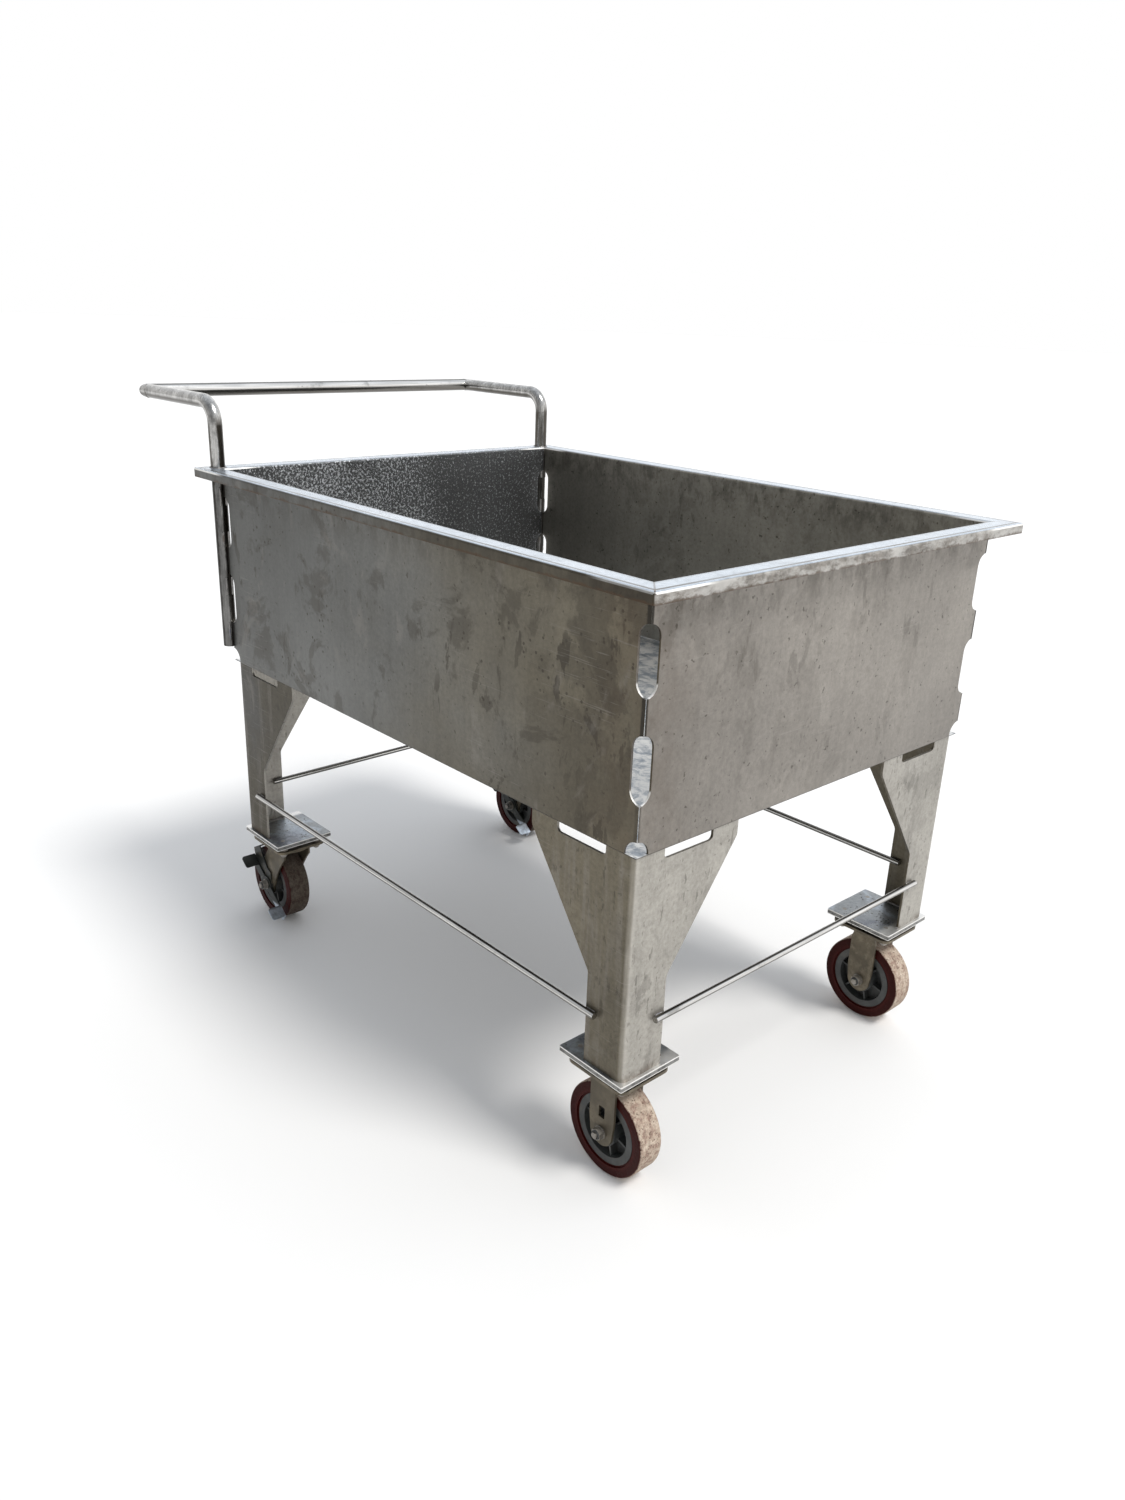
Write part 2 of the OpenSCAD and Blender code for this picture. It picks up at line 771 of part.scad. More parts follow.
// A side plate behind the lever, with a shoe folded over the tread behind the fork
module brake_shoe(far) {
    shoe_r = wheel_d / 2 + shoe_gap;
    slide = [cos(shoe_angle), sin(shoe_angle)];
    slot_r = axle_d / 2 + 1.5;
    color("gray") at_wheel(-1, far) {
        difference() {
            plate_y(-shoe_y - shoe_t, shoe_t) {
                circle(18);
                polygon([[-18, 0], [14, 12], [13, 30], [0, 36], [-8, 48],
                    slide * (shoe_r + shoe_t) + [slide[1], -slide[0]] * shoe_span / 2,
                    slide * (shoe_r + shoe_t) - [slide[1], -slide[0]] * shoe_span / 2, [-42, 30]]);
            }
            for (s = [-1, 1])
                translate([s * slide[0] * 1.5, 0, s * slide[1] * 1.5])
                    bar_y(slot_r, -shoe_y - 4, -shoe_y + 4);
        }
        translate([0, -shoe_y - eps, 0]) rotate([0, -shoe_angle, 0])
            translate([shoe_r, 0, -shoe_span / 2]) cube([shoe_t, shoe_y + tyre_w / 2 - 6, shoe_span]);
    }
}

tub_shell();
handle_side(-1);  // handle_side_near
handle_side(1);  // handle_side_far
handle_crossbar();
leg(1, -1);  // leg_front_near
leg(1, 1);  // leg_front_far
leg(-1, -1);  // leg_rear_near
leg(-1, 1);  // leg_rear_far
foot_plate(1, -1);  // foot_plate_front_near
foot_plate(1, 1);  // foot_plate_front_far
foot_plate(-1, -1);  // foot_plate_rear_near
foot_plate(-1, 1);  // foot_plate_rear_far
tie_rod_long(-1, true);  // tie_rod_near
tie_rod_long(1, false);  // tie_rod_far
tie_rod_cross(1, true);  // tie_rod_front
tie_rod_cross(-1, false);  // tie_rod_rear
mounting_studs();
mounting_nuts();
plate_spacers();
top_plate_front(-1);  // top_plate_front_near
top_plate_front(1);  // top_plate_front_far
top_plate_rear(-1);  // top_plate_rear_near
top_plate_rear(1);  // top_plate_rear_far
fork_front(-1);  // fork_front_near
fork_front(1);  // fork_front_far
fork_rear(-1);  // fork_rear_near
fork_rear(1);  // fork_rear_far
axle_bolt(1, -1);  // axle_bolt_front_near
axle_bolt(1, 1);  // axle_bolt_front_far
axle_bolt(-1, -1);  // axle_bolt_rear_near
axle_bolt(-1, 1);  // axle_bolt_rear_far
axle_nut(1, -1);  // axle_nut_front_near
axle_nut(1, 1);  // axle_nut_front_far
axle_nut(-1, -1);  // axle_nut_rear_near
axle_nut(-1, 1);  // axle_nut_rear_far
axle_sleeve(1, -1);  // axle_sleeve_front_near
axle_sleeve(1, 1);  // axle_sleeve_front_far
axle_sleeve(-1, -1);  // axle_sleeve_rear_near
axle_sleeve(-1, 1);  // axle_sleeve_rear_far
tyre(1, -1);  // tyre_front_near
tyre(1, 1);  // tyre_front_far
tyre(-1, -1);  // tyre_rear_near
tyre(-1, 1);  // tyre_rear_far
hub(1, -1);  // hub_front_near
hub(1, 1);  // hub_front_far
hub(-1, -1);  // hub_rear_near
hub(-1, 1);  // hub_rear_far
bearings(1, -1);  // bearings_front_near
bearings(1, 1);  // bearings_front_far
bearings(-1, -1);  // bearings_rear_near
bearings(-1, 1);  // bearings_rear_far
kingpin(-1);  // kingpin_rear_near
kingpin(1);  // kingpin_rear_far
swivel_balls(-1);  // swivel_balls_rear_near
swivel_balls(1);  // swivel_balls_rear_far
brake_lever(-1);  // brake_lever_rear_near
brake_lever(1);  // brake_lever_rear_far
brake_shoe(-1);  // brake_shoe_rear_near
brake_shoe(1);  // brake_shoe_rear_far
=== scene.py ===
"""Finishes, weld beads and small hardware for the stainless tub trolley.

Every size is in metres, in the frame of the packed model: +X is the front, -Y the near side and
+Z up. The trolley panel in the sidebar lists each step, and main() runs them in order.
"""

import json
import math
import random

import bmesh
import bpy
from mathutils import Matrix, Vector


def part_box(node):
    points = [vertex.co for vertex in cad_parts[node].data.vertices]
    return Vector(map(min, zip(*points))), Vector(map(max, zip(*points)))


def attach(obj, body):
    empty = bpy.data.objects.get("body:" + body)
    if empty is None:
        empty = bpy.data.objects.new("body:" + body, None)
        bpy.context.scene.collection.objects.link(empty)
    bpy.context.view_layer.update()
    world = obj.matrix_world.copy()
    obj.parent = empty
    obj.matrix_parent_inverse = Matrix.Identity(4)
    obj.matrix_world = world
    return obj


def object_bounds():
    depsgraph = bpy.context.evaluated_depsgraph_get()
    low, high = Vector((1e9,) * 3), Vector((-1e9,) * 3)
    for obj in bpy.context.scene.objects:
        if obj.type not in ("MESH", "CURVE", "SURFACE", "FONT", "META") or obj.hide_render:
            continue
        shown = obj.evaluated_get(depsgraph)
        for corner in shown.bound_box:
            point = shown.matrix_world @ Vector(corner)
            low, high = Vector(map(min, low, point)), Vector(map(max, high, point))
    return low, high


bl_info = {
    "name": "Tub trolley finishes",
    "version": (1, 0, 0),
    "blender": (4, 5, 0),
    "location": "3D View > Sidebar > Trolley",
    "description": "Dresses the tub trolley with worn steel, weld beads and a studio stage",
    "category": "Object",
}

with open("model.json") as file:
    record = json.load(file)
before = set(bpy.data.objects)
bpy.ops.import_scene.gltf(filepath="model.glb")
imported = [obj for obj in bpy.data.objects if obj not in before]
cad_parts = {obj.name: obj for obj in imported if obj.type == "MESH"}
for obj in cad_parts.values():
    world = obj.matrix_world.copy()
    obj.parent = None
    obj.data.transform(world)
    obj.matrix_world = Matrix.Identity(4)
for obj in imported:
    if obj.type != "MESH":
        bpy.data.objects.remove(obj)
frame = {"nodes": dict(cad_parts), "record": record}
CAD_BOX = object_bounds()
NODES = frame["nodes"]
BODY_OF = {n: b for b, ns in frame["record"]["behaviour"]["bodies"].items() for n in ns}
MM = 0.001
ENDS = {"front": 1, "rear": -1}
SIDES = {"near": -1, "far": 1}
CORNERS = [(e, s) for e in ENDS for s in SIDES]

RIM_REACH = 36 * MM
SLOT_REACH = 80 * MM
BEND_REACH = 11 * MM
STUD_X, STUD_Y = 43 * MM, 36 * MM
MITRE_BEAD, COLLAR_BEAD, STITCH_BEAD = 0.9 * MM, 1.5 * MM, 1.9 * MM
STITCH_LENGTH, STITCH_SPREAD = 34 * MM, 5.2 * MM
STITCH_STARTS = (14 * MM, 98 * MM, 182 * MM, 262 * MM)
SPATTER_COUNT = 26
# Painted shade: the rear treads' colours are scaled by this, darker than the front ones.
REAR_PAINTED_SHADE = 0.2
NOISE_RANGE = (0.32, 0.68)


# ---- sizes and colours that a user may change ----


def number(text, default, **more):
    return bpy.props.FloatProperty(name=text, description=text, default=default, **more)


def triple(text, default, subtype, **more):
    return bpy.props.FloatVectorProperty(
        name=text, description=text, default=default, subtype=subtype, size=3, **more)


def colour(text, default):
    return triple(text + ", in linear light", default, "COLOR", min=0.0, max=1.0)


def length(text, default):
    return number(text, default, min=0.0, unit="LENGTH")


def turn(text, default):
    return number(text, math.radians(default), subtype="ANGLE")


class TrolleyStage(bpy.types.PropertyGroup):
    """Floor, light and camera"""

    floor_colour: colour("Floor colour", (0.80, 0.797, 0.79))
    floor_reach: length("Floor radius", 60.0)
    sky_low: colour("Sky at the horizon", (1.0, 1.0, 1.0))
    sky_high: colour("Sky overhead", (0.74, 0.78, 0.84))
    sky_power: number("Sky strength", 1.25, min=0.0)
    backdrop: colour("Backdrop", (1.0, 1.0, 1.0))
    sky_dim: number("Dimming of the sky on the near side", 0.6, min=0.0, max=1.0)
    sun_power: number("Sun strength", 2.3, min=0.0)
    sun_height: turn("Height of the sun", 58.0)
    sun_heading: turn("Heading of the sun, turned from the front to the far side", 14.0)
    sun_spread: turn("Apparent size of the sun, which softens the shadows", 17.0)
    camera_at: triple("Camera place", (1.5484, -1.3322, 1.1966), "TRANSLATION")
    camera_heading: turn("Heading of the view in plan", 137.26)
    camera_pitch: turn("Tilt of the view above level", -21.16)
    camera_roll: turn("Roll of the camera", 2.16)
    camera_lens: number("Focal length for a sensor 36 mm long", 27.5, min=1.0)


class TrolleySteel(bpy.types.PropertyGroup):
    """Colours of the bare steel and of what has marked it"""

    shade_tone: colour("Sheet on the shaded sides", (0.122, 0.123, 0.117))
    warm_tone: colour("Warm patches in the sheet", (0.136, 0.119, 0.086))
    # Painted sunlight: the front wall is given this lighter tone; it also tints pale streaks and
    # scratches.
    sun_tone: colour("Sheet on the front", (0.255, 0.235, 0.210))
    # Also painted as a sky reflection on the rim's top and on the lowest brake pad.
    cool_tone: colour("Clean rim and floor", (0.53, 0.59, 0.66))
    # Painted dark reflection: the rear wall's inside takes this dark tone for the tub's dark inside
    # it reflects; glint_tone paints sun glints on it.
    inner_tone: colour("Inside of the rear wall", (0.075, 0.077, 0.078))
    glint_tone: colour("Glints inside the rear wall", (0.56, 0.58, 0.60))
    lining_tone: colour("Insides of the other walls", (0.36, 0.34, 0.295))
    # This dark tone also paints shade and dark reflections: under the rim, along the tub's foot, on
    # the near lip, in the rim's bends, on the tubes and under the foot plates.
    grime_and_shade: colour("Grime and smudges", (0.045, 0.038, 0.028))
    rust: colour("Brown stain along the seams", (0.075, 0.045, 0.025))
    # Painted light: the flanges that face front and back take this tone, lighter than the side
    # flanges.
    leg_tone: colour("Leg plate", (0.40, 0.38, 0.342))
    foot_tone: colour("Foot plates", (0.27, 0.285, 0.295))
    tube_tone: colour("Handle tube and tie rods", (0.62, 0.61, 0.59))
    edge_tone: colour("Cut edges of the sheet and plates", (0.88, 0.87, 0.84))
    caster_tone: colour("Casters", (0.120, 0.101, 0.070))
    bolt_tone: colour("Bolts and nuts", (0.33, 0.31, 0.28))
    weld_tone: colour("Weld beads", (0.30, 0.29, 0.28))
    lever_tone: colour("Brake levers", (0.048, 0.051, 0.047))


class TrolleyWheels(bpy.types.PropertyGroup):
    """Colours of the wheels"""

    tyre_side: colour("Tyre sides", (0.032, 0.0036, 0.0026))
    tyre_ring: colour("Inner ring of the tyre sides", (0.050, 0.007, 0.0055))
    tread_dust: colour("Dust on the treads", (0.42, 0.34, 0.27))
    tread_worn: colour("Worn tread", (0.25, 0.17, 0.135))
    hub_tone: colour("Hubs", (0.037, 0.039, 0.038))


class TrolleyWelds(bpy.types.PropertyGroup):
    """Sizes of the weld beads"""

    fillet: length("Radius of a fillet bead", 2.6 * MM)
    tack: length("Radius of a tack", 2.2 * MM)
    ripple: length("Pitch of the ripples", 2.4 * MM)
    plate: length("Thickness of the leg plate", 4 * MM)
    flange: length("Width of a leg's flange at its foot", 76 * MM)
    flare: length("Width of a leg's flange at its top", 201 * MM)


GROUPS = {
    "trolley_stage": TrolleyStage,
    "trolley_steel": TrolleySteel,
    "trolley_wheels": TrolleyWheels,
    "trolley_welds": TrolleyWelds,
}


# ---- procedural finishes ----


def times(tone, by):
    """A tone made lighter or darker, and never past white."""
    return [min(1.0, by * c) for c in tone]


def map_range(tree, value, source, target=(0.0, 1.0), smooth=True):
    """Adds a node that maps a value from one range to another."""
    node = tree.nodes.new("ShaderNodeMapRange")
    node.interpolation_type = "SMOOTHSTEP" if smooth else "LINEAR"
    tree.links.new(value, node.inputs["Value"])
    for name, number in zip(("From Min", "From Max", "To Min", "To Max"), (*source, *target)):
        node.inputs[name].default_value = number
    return node.outputs["Result"]


class Finish:
    """A material being built: its node tree, and short ways to add to it."""

    def __init__(self, name, metallic=0.0):
        self.material = bpy.data.materials.new(name)
        self.material.use_nodes = True
        self.tree = self.material.node_tree
        self.tree.nodes.clear()
        self.shader = self.tree.nodes.new("ShaderNodeBsdfPrincipled")
        out = self.tree.nodes.new("ShaderNodeOutputMaterial")
        self.join(self.shader.outputs[0], out.inputs[0])
        self.shader.inputs["Metallic"].default_value = metallic
        self.shader.inputs["IOR"].default_value = 1.5
        self.place = self.tree.nodes.new("ShaderNodeTexCoord").outputs["Object"]
        self.normal = None

    def join(self, source, socket):
        self.tree.links.new(source, socket)

    def feed(self, socket, value):
        """Sets a socket to a number or colour, or links an output to it."""
        if isinstance(value, bpy.types.NodeSocket):
            self.join(value, socket)
        elif hasattr(value, "__len__") and len(socket.default_value) == 4 and len(value) == 3:
            socket.default_value = (*value, 1.0)
        else:
            socket.default_value = value

    def maths(self, operation, a, b=0.0, clamp=False):
        node = self.tree.nodes.new("ShaderNodeMath")
        node.operation = operation
        node.use_clamp = clamp
        self.feed(node.inputs[0], a)
        self.feed(node.inputs[1], b)
        return node.outputs[0]

    def plus(self, a, b, clamp=False):
        return self.maths("ADD", a, b, clamp)

    def minus(self, a, b):
        return self.maths("SUBTRACT", a, b)

    def both(self, *masks):
        """The product of masks and shares: 1 only where all of them are."""
        out = masks[0]
        for mask in masks[1:]:
            out = self.maths("MULTIPLY", out, mask)
        return out

    def either(self, *masks):
        """The largest of the masks: 1 where any of them is."""
        out = masks[0]
        for mask in masks[1:]:
            out = self.maths("MAXIMUM", out, mask)
        return out

    def apart(self, a, b):
        """The distance between two values."""
        return self.maths("ABSOLUTE", self.minus(a, b))

    def step(self, value, low, high):
        """0 at low, 1 at high, with a smooth change between; low may be the larger one."""
        ends = (0.0, 1.0) if low < high else (1.0, 0.0)
        return map_range(self.tree, value, sorted((low, high)), ends)

    def noise(self, scale, detail=3.0, rough=0.5, stretch=(1, 1, 1), turned=(0, 0, 0), twist=0.0):
        """Cloudy noise in the frame of the model; a small stretch draws it out along an axis."""
        place = self.tree.nodes.new("ShaderNodeMapping")
        self.join(self.place, place.inputs["Vector"])
        place.inputs["Rotation"].default_value = [math.radians(a) for a in turned]
        place.inputs["Scale"].default_value = stretch
        node = self.tree.nodes.new("ShaderNodeTexNoise")
        self.join(place.outputs[0], node.inputs["Vector"])
        node.inputs["Scale"].default_value = scale
        node.inputs["Detail"].default_value = detail
        node.inputs["Roughness"].default_value = rough
        node.inputs["Distortion"].default_value = twist
        return node.outputs["Fac"]

    def patches(self, low, high, *noise, **more):
        """A noise's patches: 0 where it is below low, 1 where it is above high."""
        return self.step(self.noise(*noise, **more), low, high)

    def cells(self, scale):
        """Distance from the nearest of a scatter of points."""
        node = self.tree.nodes.new("ShaderNodeTexVoronoi")
        self.join(self.place, node.inputs["Vector"])
        node.inputs["Scale"].default_value = scale
        return node.outputs["Distance"]

    def blend(self, share_of_b, a, b):
        node = self.tree.nodes.new("ShaderNodeMix")
        node.data_type = "RGBA"
        self.feed(node.inputs["Factor"], share_of_b)
        self.feed(node.inputs["A"], a)
        self.feed(node.inputs["B"], b)
        return node.outputs["Result"]

    def lay(self, tint, over, mask, most=1.0):
        """Lays another tint over this one where the mask is 1, up to a share of it."""
        return self.blend(self.both(mask, most), tint, over)

    def axis(self, name):
        """One coordinate of the point being shaded."""
        node = self.tree.nodes.new("ShaderNodeSeparateXYZ")
        self.join(self.place, node.inputs[0])
        return node.outputs[name]

    def past(self, name, low, high):
        """0 to 1 between two places along an axis, or 1 to 0 if low is the farther one."""
        return self.step(self.axis(name), low, high)

    def slope(self, name):
        """How far the surface faces along an axis, from -1 to 1."""
        if self.normal is None:
            node = self.tree.nodes.new("ShaderNodeSeparateXYZ")
            self.join(self.tree.nodes.new("ShaderNodeTexCoord").outputs["Normal"], node.inputs[0])
            self.normal = node.outputs
        return self.normal[name]

    def faces(self, name, sign=1):
        """1 where the surface faces along the axis, towards plus or minus."""
        return self.step(self.slope(name), 0.55 * sign, 0.85 * sign)

    def spread(self, value, least, most):
        """A noise's usual range, stretched to run from least to most."""
        return map_range(self.tree, value, NOISE_RANGE, (least, most), smooth=False)

    def scale(self, tint, by):
        """A tint made lighter or darker."""
        node = self.tree.nodes.new("ShaderNodeVectorMath")
        node.operation = "SCALE"
        self.feed(node.inputs[0], tint)
        self.feed(node.inputs["Scale"], by)
        return node.outputs[0]

    def near(self, name, at, within):
        """1 where a coordinate is within a distance of at."""
        return self.step(self.apart(self.axis(name), at), within, within * 0.5)

    def relief(self, height, strength, depth, under=None):
        """The normal with a height laid on it, over another relief if one is given."""
        node = self.tree.nodes.new("ShaderNodeBump")
        node.inputs["Strength"].default_value = strength
        node.inputs["Distance"].default_value = depth
        self.feed(node.inputs["Height"], height)
        if under is not None:
            self.join(under, node.inputs["Normal"])
        return node.outputs["Normal"]

    def soft_edges(self, radius):
        """The normal with its sharp edges rounded."""
        node = self.tree.nodes.new("ShaderNodeBevel")
        node.samples = 4
        node.inputs["Radius"].default_value = radius
        return node.outputs["Normal"]

    def done(self, tint, roughness, normal):
        """Joins the finished tint, roughness and normal to the shader."""
        self.feed(self.shader.inputs["Base Color"], tint)
        self.feed(self.shader.inputs["Roughness"], roughness)
        self.join(normal, self.shader.inputs["Normal"])
        return self.material


def mill_marks(f, tint, steel, smudges=0.5, scratches=0.5, specks=0.6):
    """Lays grain, drawn streaks, stains, upright smudges, specks and fine scratches over steel."""
    tint = f.scale(tint, f.spread(f.noise(150.0, 4.0, 0.75), 0.84, 1.16))
    tint = f.scale(tint, f.spread(f.noise(75.0, 3.0, 0.6, stretch=(1, 1, 0.05)), 0.955, 1.045))
    tint = f.scale(tint, f.spread(f.noise(3.4, 5.0, 0.55), 0.84, 1.16))
    stain = f.patches(0.545, 0.600, 8.5, 7.0, 0.62, twist=0.5)
    tint = f.blend(f.both(stain, f.both(smudges, 0.52)), tint, steel.grime_and_shade)
    drips = f.both(f.patches(0.580, 0.612, 27.0, 8.0, 0.62, stretch=(1, 1, 0.40), twist=0.4),
                   f.patches(0.44, 0.58, 4.3, 2.0))
    tint = f.blend(f.both(drips, f.both(smudges, 0.88)), tint, steel.grime_and_shade)
    pale = f.patches(0.56, 0.66, 13.0, 6.0, 0.65, stretch=(1, 1, 0.6), twist=0.8)
    tint = f.lay(tint, steel.sun_tone, pale, 0.22)
    lines = [f.noise(7.0, 3.0, 0.6, stretch=(1, 1, 44), turned=(4, 5, 0)),
             f.noise(10.0, 3.0, 0.6, stretch=(1.2, 1.2, 40), turned=(-12, -14, 0)),
             f.noise(8.0, 3.0, 0.6, stretch=(1.5, 1.5, 50), turned=(32, 34, 0))]
    mark = f.either(f.step(lines[0], 0.645, 0.675), f.step(lines[1], 0.665, 0.69),
                    f.step(lines[2], 0.68, 0.70))
    mark = f.both(mark, f.patches(0.47, 0.60, 4.1, 3.0))
    tint = f.lay(tint, [min(1.0, 1.1 * c + 0.12) for c in steel.sun_tone], mark, 0.55 * scratches)
    dots = f.both(f.step(f.cells(75.0), 0.22, 0.13), f.patches(0.52, 0.60, 9.0, 3.0))
    tint = f.blend(f.both(dots, f.both(smudges, specks)), tint, steel.grime_and_shade)
    pins = f.patches(0.675, 0.73, 120.0, 2.0, 0.5)
    return f.lay(tint, steel.grime_and_shade, pins, 0.7 * specks), mark


def rim_finish(f, tint, steel, low, high):
    """Lays over the sheet's tint the rim's cleaner top with a painted sky reflection, painted dark
    reflections in its bends, painted shade and sunlight on its lip, and the stains on its lip.
    """
    over_x = f.minus(f.apart(f.axis("X"), (low.x + high.x) / 2), (high.x - low.x) / 2)
    over_y = f.minus(f.apart(f.axis("Y"), 0.0), high.y)
    inward = f.both(f.either(over_x, over_y), -1.0)
    top = f.past("Z", high.z - 1.6 * MM, high.z - 0.4 * MM)
    scuffs = f.patches(0.48, 0.66, 24.0, 6.0, 0.7, twist=1.0)
    # The top's pale bluish tone is the cleaner rubbed rim with a painted sky reflection on it.
    clean_top_with_painted_light = f.lay(steel.cool_tone, times(steel.cool_tone, 0.62), scuffs, 0.55)
    clean_top_with_painted_light = f.scale(clean_top_with_painted_light, f.spread(f.noise(140.0, 4.0, 0.7), 0.86, 1.12))
    # Painted dark reflections in the rim's bends: a dark line by the outer bend, and the shade tone
    # by the inner one.
    line = f.both(f.step(f.apart(inward, 8 * MM), 3.4 * MM, 1.8 * MM),
                  f.spread(f.noise(8.0, 4.0), 0.55, 1.0))
    clean_top_with_painted_light = f.lay(clean_top_with_painted_light, steel.grime_and_shade, line, 0.9)
    inner = f.step(inward, 30 * MM, 34 * MM)
    clean_top_with_painted_light = f.lay(clean_top_with_painted_light, steel.shade_tone, inner, 0.35)
    mitre = f.step(f.apart(over_x, over_y), 2.4 * MM, 0.8 * MM)
    clean_top_with_painted_light = f.blend(f.both(mitre, f.spread(f.noise(30.0, 4.0), 0.5, 1.0)), clean_top_with_painted_light, steel.rust)
    tint = f.blend(top, tint, clean_top_with_painted_light)
    lip = f.both(f.step(inward, 3.2 * MM, 2.2 * MM),
                 f.past("Z", high.z - 22 * MM, high.z - 19 * MM),
                 f.past("Z", high.z, high.z - 1.5 * MM))
    # Painted shade on the near-facing lip.
    dull = f.both(lip, f.faces("Y", -1), f.past("X", low.x + 0.2, high.x - 0.2),
                  f.spread(f.noise(9.0, 5.0, 0.6), 0.5, 1.0))
    tint = f.lay(tint, times(steel.grime_and_shade, 0.62), dull, 0.82)
    # Pale streaks on the front-facing lip, painted as sunlit.
    pale = f.both(lip, f.faces("X"), f.patches(0.40, 0.62, 36.0, 7.0, 0.75, stretch=(1, 0.4, 1)))
    tint = f.lay(tint, steel.edge_tone, pale, 0.42)
    ragged = f.both(f.minus(f.noise(28.0, 6.0, 0.75), 0.5), 20 * MM)
    foul = f.both(lip, f.step(f.plus(f.axis("Z"), ragged), high.z - 12 * MM, high.z - 16 * MM))
    return f.lay(tint, steel.rust, foul, 0.7), top


def sheet_finish(steel):
    """Folded stainless sheet of the tub: dull, stained and scratched, with a cleaner rim, and with
    painted sunlight, shade, glints and reflections.
    """
    f = Finish("tub_sheet_steel", metallic=0.8)
    low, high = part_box("tub_shell")
    front, rear = high.x - RIM_REACH, low.x + RIM_REACH
    near, far = low.y + RIM_REACH, high.y - RIM_REACH
    is_front = f.both(f.faces("X"), f.past("X", front - 0.2, front - 0.1))
    inner_rear = f.both(f.faces("X"), f.past("X", rear + 0.1, rear + 0.05))
    inner_near = f.both(f.faces("Y"), f.past("Y", near + 0.1, near + 0.05))
    inner_far = f.both(f.faces("Y", -1), f.past("Y", far - 0.1, far - 0.05))
    inner_front = f.both(f.faces("X", -1), f.past("X", front - 0.1, front - 0.05))

    cloud = f.noise(2.3, 5.0, 0.55)
    along = f.spread(cloud, -0.22, 0.22)
    warm = f.step(f.plus(f.axis("X"), along), rear + 0.25, front - 0.1)
    tint = f.blend(warm, steel.shade_tone, steel.warm_tone)
    # Painted sunlight: the front wall takes the lighter sun tone over the shaded base.
    tint = f.blend(is_front, tint, steel.sun_tone)
    lining = f.plus(f.plus(inner_near, inner_far), inner_front, clamp=True)
    # Painted shade inside the tub: the inner walls darken towards the rear wall.
    deep = f.past("X", rear + 0.55, rear + 0.05)
    inside = f.lay(steel.lining_tone, times(steel.lining_tone, 0.5), deep, 0.75)
    tint = f.blend(lining, tint, inside)
    patch = f.both(f.faces("Y", -1), f.past("Y", near + 0.1, near + 0.05),
                   f.past("X", front - 0.34, front - 0.10),
                   f.patches(0.47, 0.53, 6.5, 7.0, 0.6, stretch=(1, 1, 0.7), twist=0.3))
    tint = f.lay(tint, steel.grime_and_shade, patch, 0.42)
    away = f.plus(f.plus(f.faces("X", -1), f.faces("Y")), inner_far, clamp=True)
    smudges = f.minus(f.minus(0.9, f.both(is_front, 0.62)), f.both(away, 0.55))
    tint, mark = mill_marks(f, tint, steel, smudges=smudges, scratches=0.3, specks=0.9)

    # Painted shade under the rim's lip, mottled.
    under_rim = f.both(f.past("Z", high.z - 0.085, high.z - 0.020),
                       f.patches(0.42, 0.62, 40.0, 7.0, 0.72, stretch=(1, 1, 0.5)))
    tint = f.lay(tint, steel.grime_and_shade, under_rim, 0.42)
    by_corner = f.both(f.past("X", front - 0.13, front - 0.01),
                       f.past("Y", near + 0.13, near + 0.01),
                       f.spread(f.noise(16.0, 6.0, 0.65), 0.0, 1.0))
    tint = f.lay(tint, steel.rust, by_corner, 0.34)
    # Painted shade along the foot of the walls, where they turn under.
    foot = f.past("Z", low.z + 3.4 * MM, low.z + 2.0 * MM)
    tint = f.lay(tint, steel.grime_and_shade, foot, 0.7)

    # Inside the rear wall: a dark tone painted as a reflection of the tub's dark inside, lighter
    # towards the far end, with painted sun glints.
    grain = f.noise(205.0, 2.0, 0.9)
    thick = f.both(f.spread(f.noise(4.6, 4.0, 0.6), 0.25, 1.0),
                   f.plus(0.35, f.both(f.past("Y", far - 0.1, near + 0.3), 0.65)))
    glints = f.step(f.plus(grain, f.both(thick, 0.13)), 0.59, 0.71)
    smooth = f.both(f.past("Y", near + 0.30, far - 0.05),
                    f.spread(f.noise(7.0, 4.0, 0.6, stretch=(1, 1, 0.2)), 0.4, 1.0))
    rear_tint = f.blend(smooth, steel.inner_tone, times(steel.inner_tone, 1.75))
    rear_tint = f.blend(glints, rear_tint, steel.glint_tone)
    tint = f.blend(inner_rear, tint, rear_tint)

    bottom = f.both(f.faces("Z"), f.past("Z", high.z - 0.1, high.z - 0.2))
    dents = f.noise(38.0, 7.0, 0.7, twist=0.5)
    ground = f.blend(f.step(dents, 0.36, 0.60), times(steel.cool_tone, 0.62),
                     times(steel.edge_tone, 0.98))
    scuffs = f.both(f.patches(0.56, 0.64, 26.0, 6.0, 0.65, stretch=(0.4, 1, 1)),
                    f.spread(f.noise(5.0, 3.0), 0.2, 0.75))
    ground = f.blend(scuffs, ground, times(steel.cool_tone, 0.40))
    tint = f.blend(bottom, tint, ground)
    by_slot = f.both(f.either(f.near("X", front, SLOT_REACH), f.near("X", rear, SLOT_REACH)),
                     f.either(f.near("Y", near, SLOT_REACH), f.near("Y", far, SLOT_REACH)),
                     f.past("Z", low.z + 8 * MM, low.z + 12 * MM))
    tint = f.blend(f.both(f.step(f.slope("Z"), 0.08, 0.25), by_slot), tint, steel.edge_tone)

    seam = f.both(f.either(f.near("X", front, 9 * MM), f.near("X", rear, 9 * MM)),
                  f.either(f.near("Y", near, 5 * MM), f.near("Y", far, 5 * MM)),
                  f.spread(f.noise(70.0, 5.0, 0.7), 0.45, 1.0),
                  f.past("Z", high.z - 0.010, high.z - 0.020),
                  f.plus(0.6, f.past("Z", low.z + 0.06, low.z + 0.16)))
    tint = f.blend(f.maths("MINIMUM", seam, 0.9), tint, times(steel.grime_and_shade, 0.5))
    tint, top = rim_finish(f, tint, steel, low, high)

